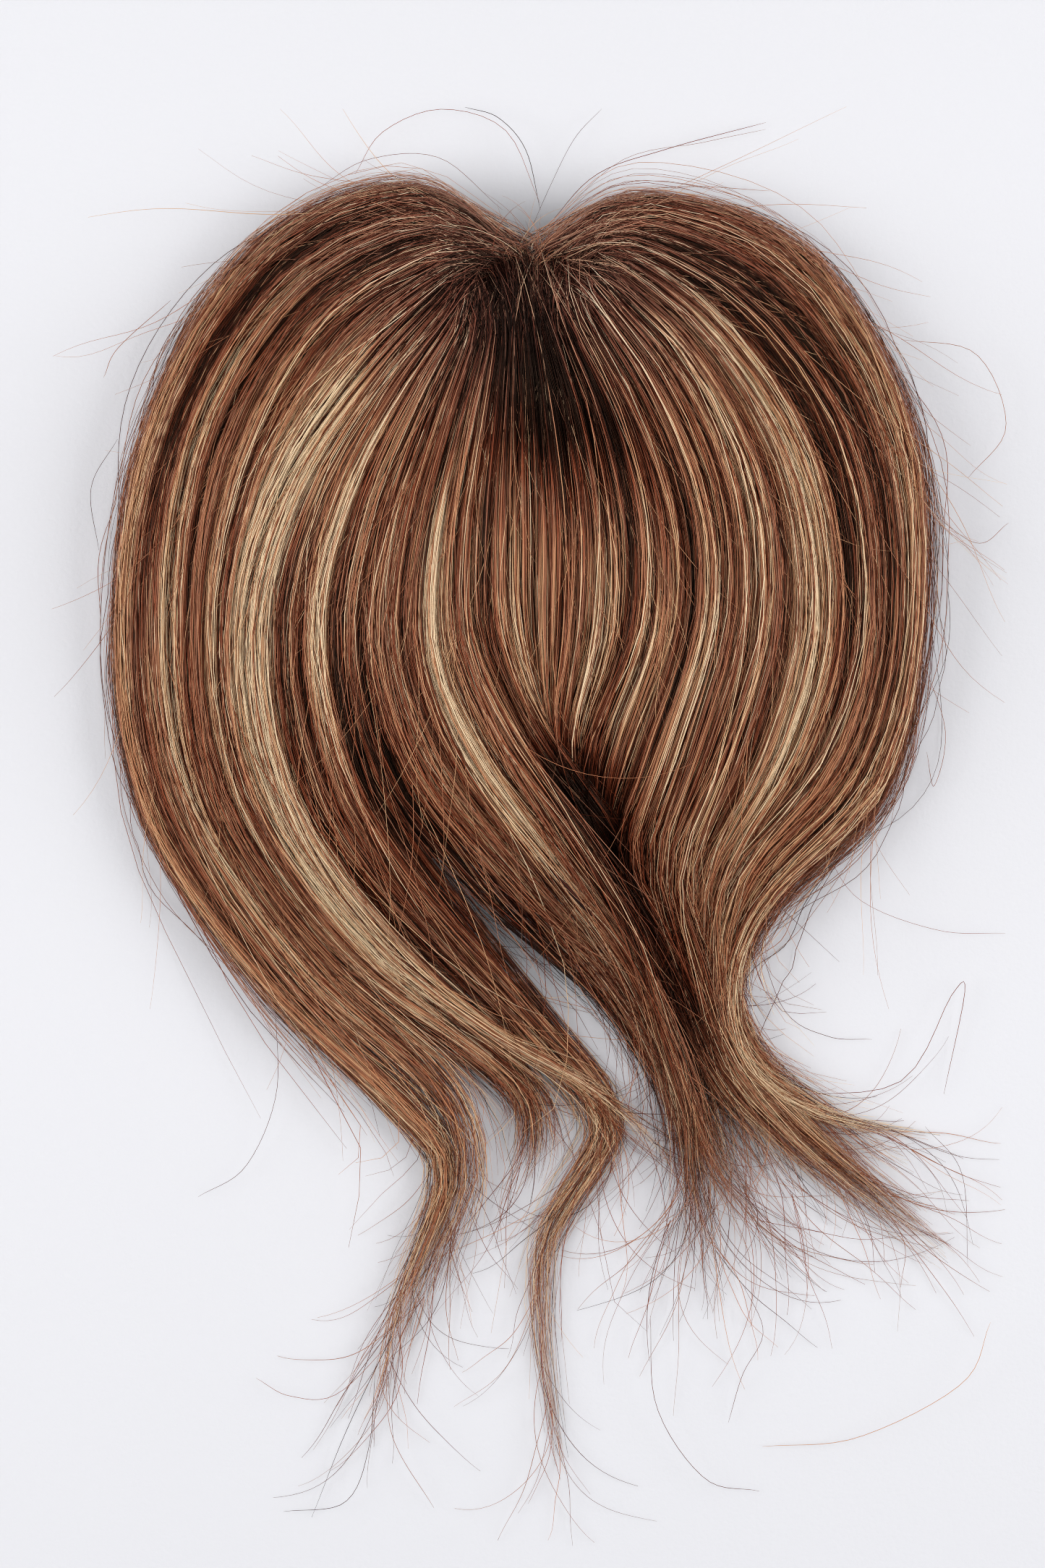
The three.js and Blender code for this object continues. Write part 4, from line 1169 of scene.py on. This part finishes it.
class HAIR_OT_strands(bpy.types.Operator):
    """Lays the strands of each group over the bed"""

    bl_idname = "hair_topper.strands"
    bl_label = "Strands"

    def execute(self, context):
        scene = context.scene
        sizes = scene.hair_sizes
        material = strand_material(scene.hair_colours)
        for seed, (name, (body_name, low, high, part)) in enumerate(STRAND_GROUPS.items()):
            count = int(sizes.strands * part)
            paths = strand_paths(body_name, low, high, count, 100 + 10 * seed, sizes)
            dress(strands_object(name, *paths), material, "hair", body_name)
        return {"FINISHED"}


class HAIR_OT_loose(bpy.types.Operator):
    """Lays the loose hairs that stand off the rest"""

    bl_idname = "hair_topper.loose"
    bl_label = "Loose hairs"

    def execute(self, context):
        material = bpy.data.materials["coloured_hair_strands"]
        for name, paths in (
            ("loose_hairs", loose_paths(count=250, seed=900)),
            ("fringe", fringe_paths(count=90, seed=950)),
            ("wisps", wisp_paths(seed=970)),
            ("spray", spray_paths(count=70, seed=990)),
        ):
            dress(strands_object(name, *paths), material, "hair")
        return {"FINISHED"}


class HAIR_OT_base(bpy.types.Operator):
    """Finishes the net base and the four clips"""

    bl_idname = "hair_topper.base"
    bl_label = "Base and clips"

    def execute(self, context):
        net, steel = net_material(), clip_material()
        for name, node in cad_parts.items():
            if name == "base" or name.startswith("clip"):
                node.data.materials.clear()
                node.data.materials.append(net if name == "base" else steel)
        return {"FINISHED"}


# The middle of the view in millimetres from the parting, the height of the level that the
# view's length is measured at, the camera's sensor in millimetres, and half a side of the
# table in metres.
VIEW_MIDDLE = np.array([-1.155, -154.35])
SHARP_HEIGHT = 12
SENSOR = 36.0
TABLE_HALF = 3.0

# The lamps, each a square: place, side in metres and share of the light's power.
LAMPS = {
    "lamp_overhead": ((0.0, 0.05, 1.5), 0.9, 0.37),
    "lamp_far": ((0.0, 1.25, 0.8), 0.7, 0.2),
    "lamp_left": ((-1.25, 0.0, 0.75), 0.9, 1.0),
    "lamp_right": ((1.25, 0.0, 0.75), 0.9, 1.0),
}


class HAIR_OT_stage(bpy.types.Operator):
    """Makes the table, the lamps and the camera"""

    bl_idname = "hair_topper.stage"
    bl_label = "Stage"

    def execute(self, context):
        scene = context.scene
        stage = scene.stage_sizes
        mesh = bpy.data.meshes.new("table")
        square = ((-1, -1), (1, -1), (1, 1), (-1, 1))
        corners = [(TABLE_HALF * x, TABLE_HALF * y, 0) for x, y in square]
        mesh.from_pydata(corners, [], [(0, 1, 2, 3)])
        table = bpy.data.objects.new("table", mesh)
        scene.collection.objects.link(table)
        table.data.materials.append(table_material())

        world = bpy.data.worlds.new("studio")
        world.use_nodes = True
        sky = world.node_tree.nodes["Background"]
        sky.inputs["Color"].default_value = linear("#f4f5f8")
        sky.inputs["Strength"].default_value = 0.22
        scene.world = world
        for name, (place, size, power) in LAMPS.items():
            lamp = bpy.data.lights.new(name, "AREA")
            lamp.energy = stage.light_power * power
            lamp.size = size
            thing = bpy.data.objects.new(name, lamp)
            place = np.array(place)
            thing.location = place
            aim = -place / np.linalg.norm(place)
            thing.rotation_euler = (math.acos(-aim[2]), 0, math.atan2(aim[1], aim[0]) - math.pi / 2)
            scene.collection.objects.link(thing)

        lens = bpy.data.cameras.new("camera")
        camera = bpy.data.objects.new("camera", lens)
        scene.collection.objects.link(camera)
        lens.sensor_width = SENSOR
        lens.lens = SENSOR * (stage.camera_height - SHARP_HEIGHT * MM) / stage.view_height
        lens.dof.use_dof = False
        centre = VIEW_MIDDLE + PARTING[:2]
        camera.location = (centre[0] * MM, centre[1] * MM, stage.camera_height)
        scene.camera = camera
        scene.view_settings.view_transform = "Standard"
        scene.cycles.debug_use_spatial_splits = True
        scene.cycles.max_bounces = 4
        scene.cycles.diffuse_bounces = 2
        scene.cycles.filter_width = 1.1
        scene.cycles.denoising_prefilter = "NONE"
        return {"FINISHED"}


class HAIR_PT_panel(bpy.types.Panel):
    """Lists the steps and their sizes"""

    bl_idname = "HAIR_PT_panel"
    bl_label = "Hair topper"
    bl_space_type = "VIEW_3D"
    bl_region_type = "UI"
    bl_category = "Hair topper"

    def draw(self, context):
        scene = context.scene
        for group in (scene.hair_sizes, scene.hair_colours, scene.stage_sizes):
            for key in group.bl_rna.properties.keys():
                if key not in ("rna_type", "name"):
                    self.layout.prop(group, key)
        for operator in OPERATORS:
            self.layout.operator(operator.bl_idname)


OPERATORS = (HAIR_OT_bed, HAIR_OT_strands, HAIR_OT_loose, HAIR_OT_base, HAIR_OT_stage)
CLASSES = (HairSizes, HairColours, StageSizes, *OPERATORS, HAIR_PT_panel)


def register():
    """Makes the steps, their settings and the panel known."""
    for kind in CLASSES:
        bpy.utils.register_class(kind)
    bpy.types.Scene.hair_sizes = PointerProperty(type=HairSizes)
    bpy.types.Scene.hair_colours = PointerProperty(type=HairColours)
    bpy.types.Scene.stage_sizes = PointerProperty(type=StageSizes)


def unregister():
    """Takes them away again, in the opposite order."""
    del bpy.types.Scene.stage_sizes
    del bpy.types.Scene.hair_colours
    del bpy.types.Scene.hair_sizes
    for kind in reversed(CLASSES):
        bpy.utils.unregister_class(kind)


def main():
    """Builds everything in order."""
    register()
    bpy.ops.hair_topper.bed()
    bpy.ops.hair_topper.strands()
    bpy.ops.hair_topper.loose()
    bpy.ops.hair_topper.base()
    bpy.ops.hair_topper.stage()


if __name__ == "__main__":
    main()
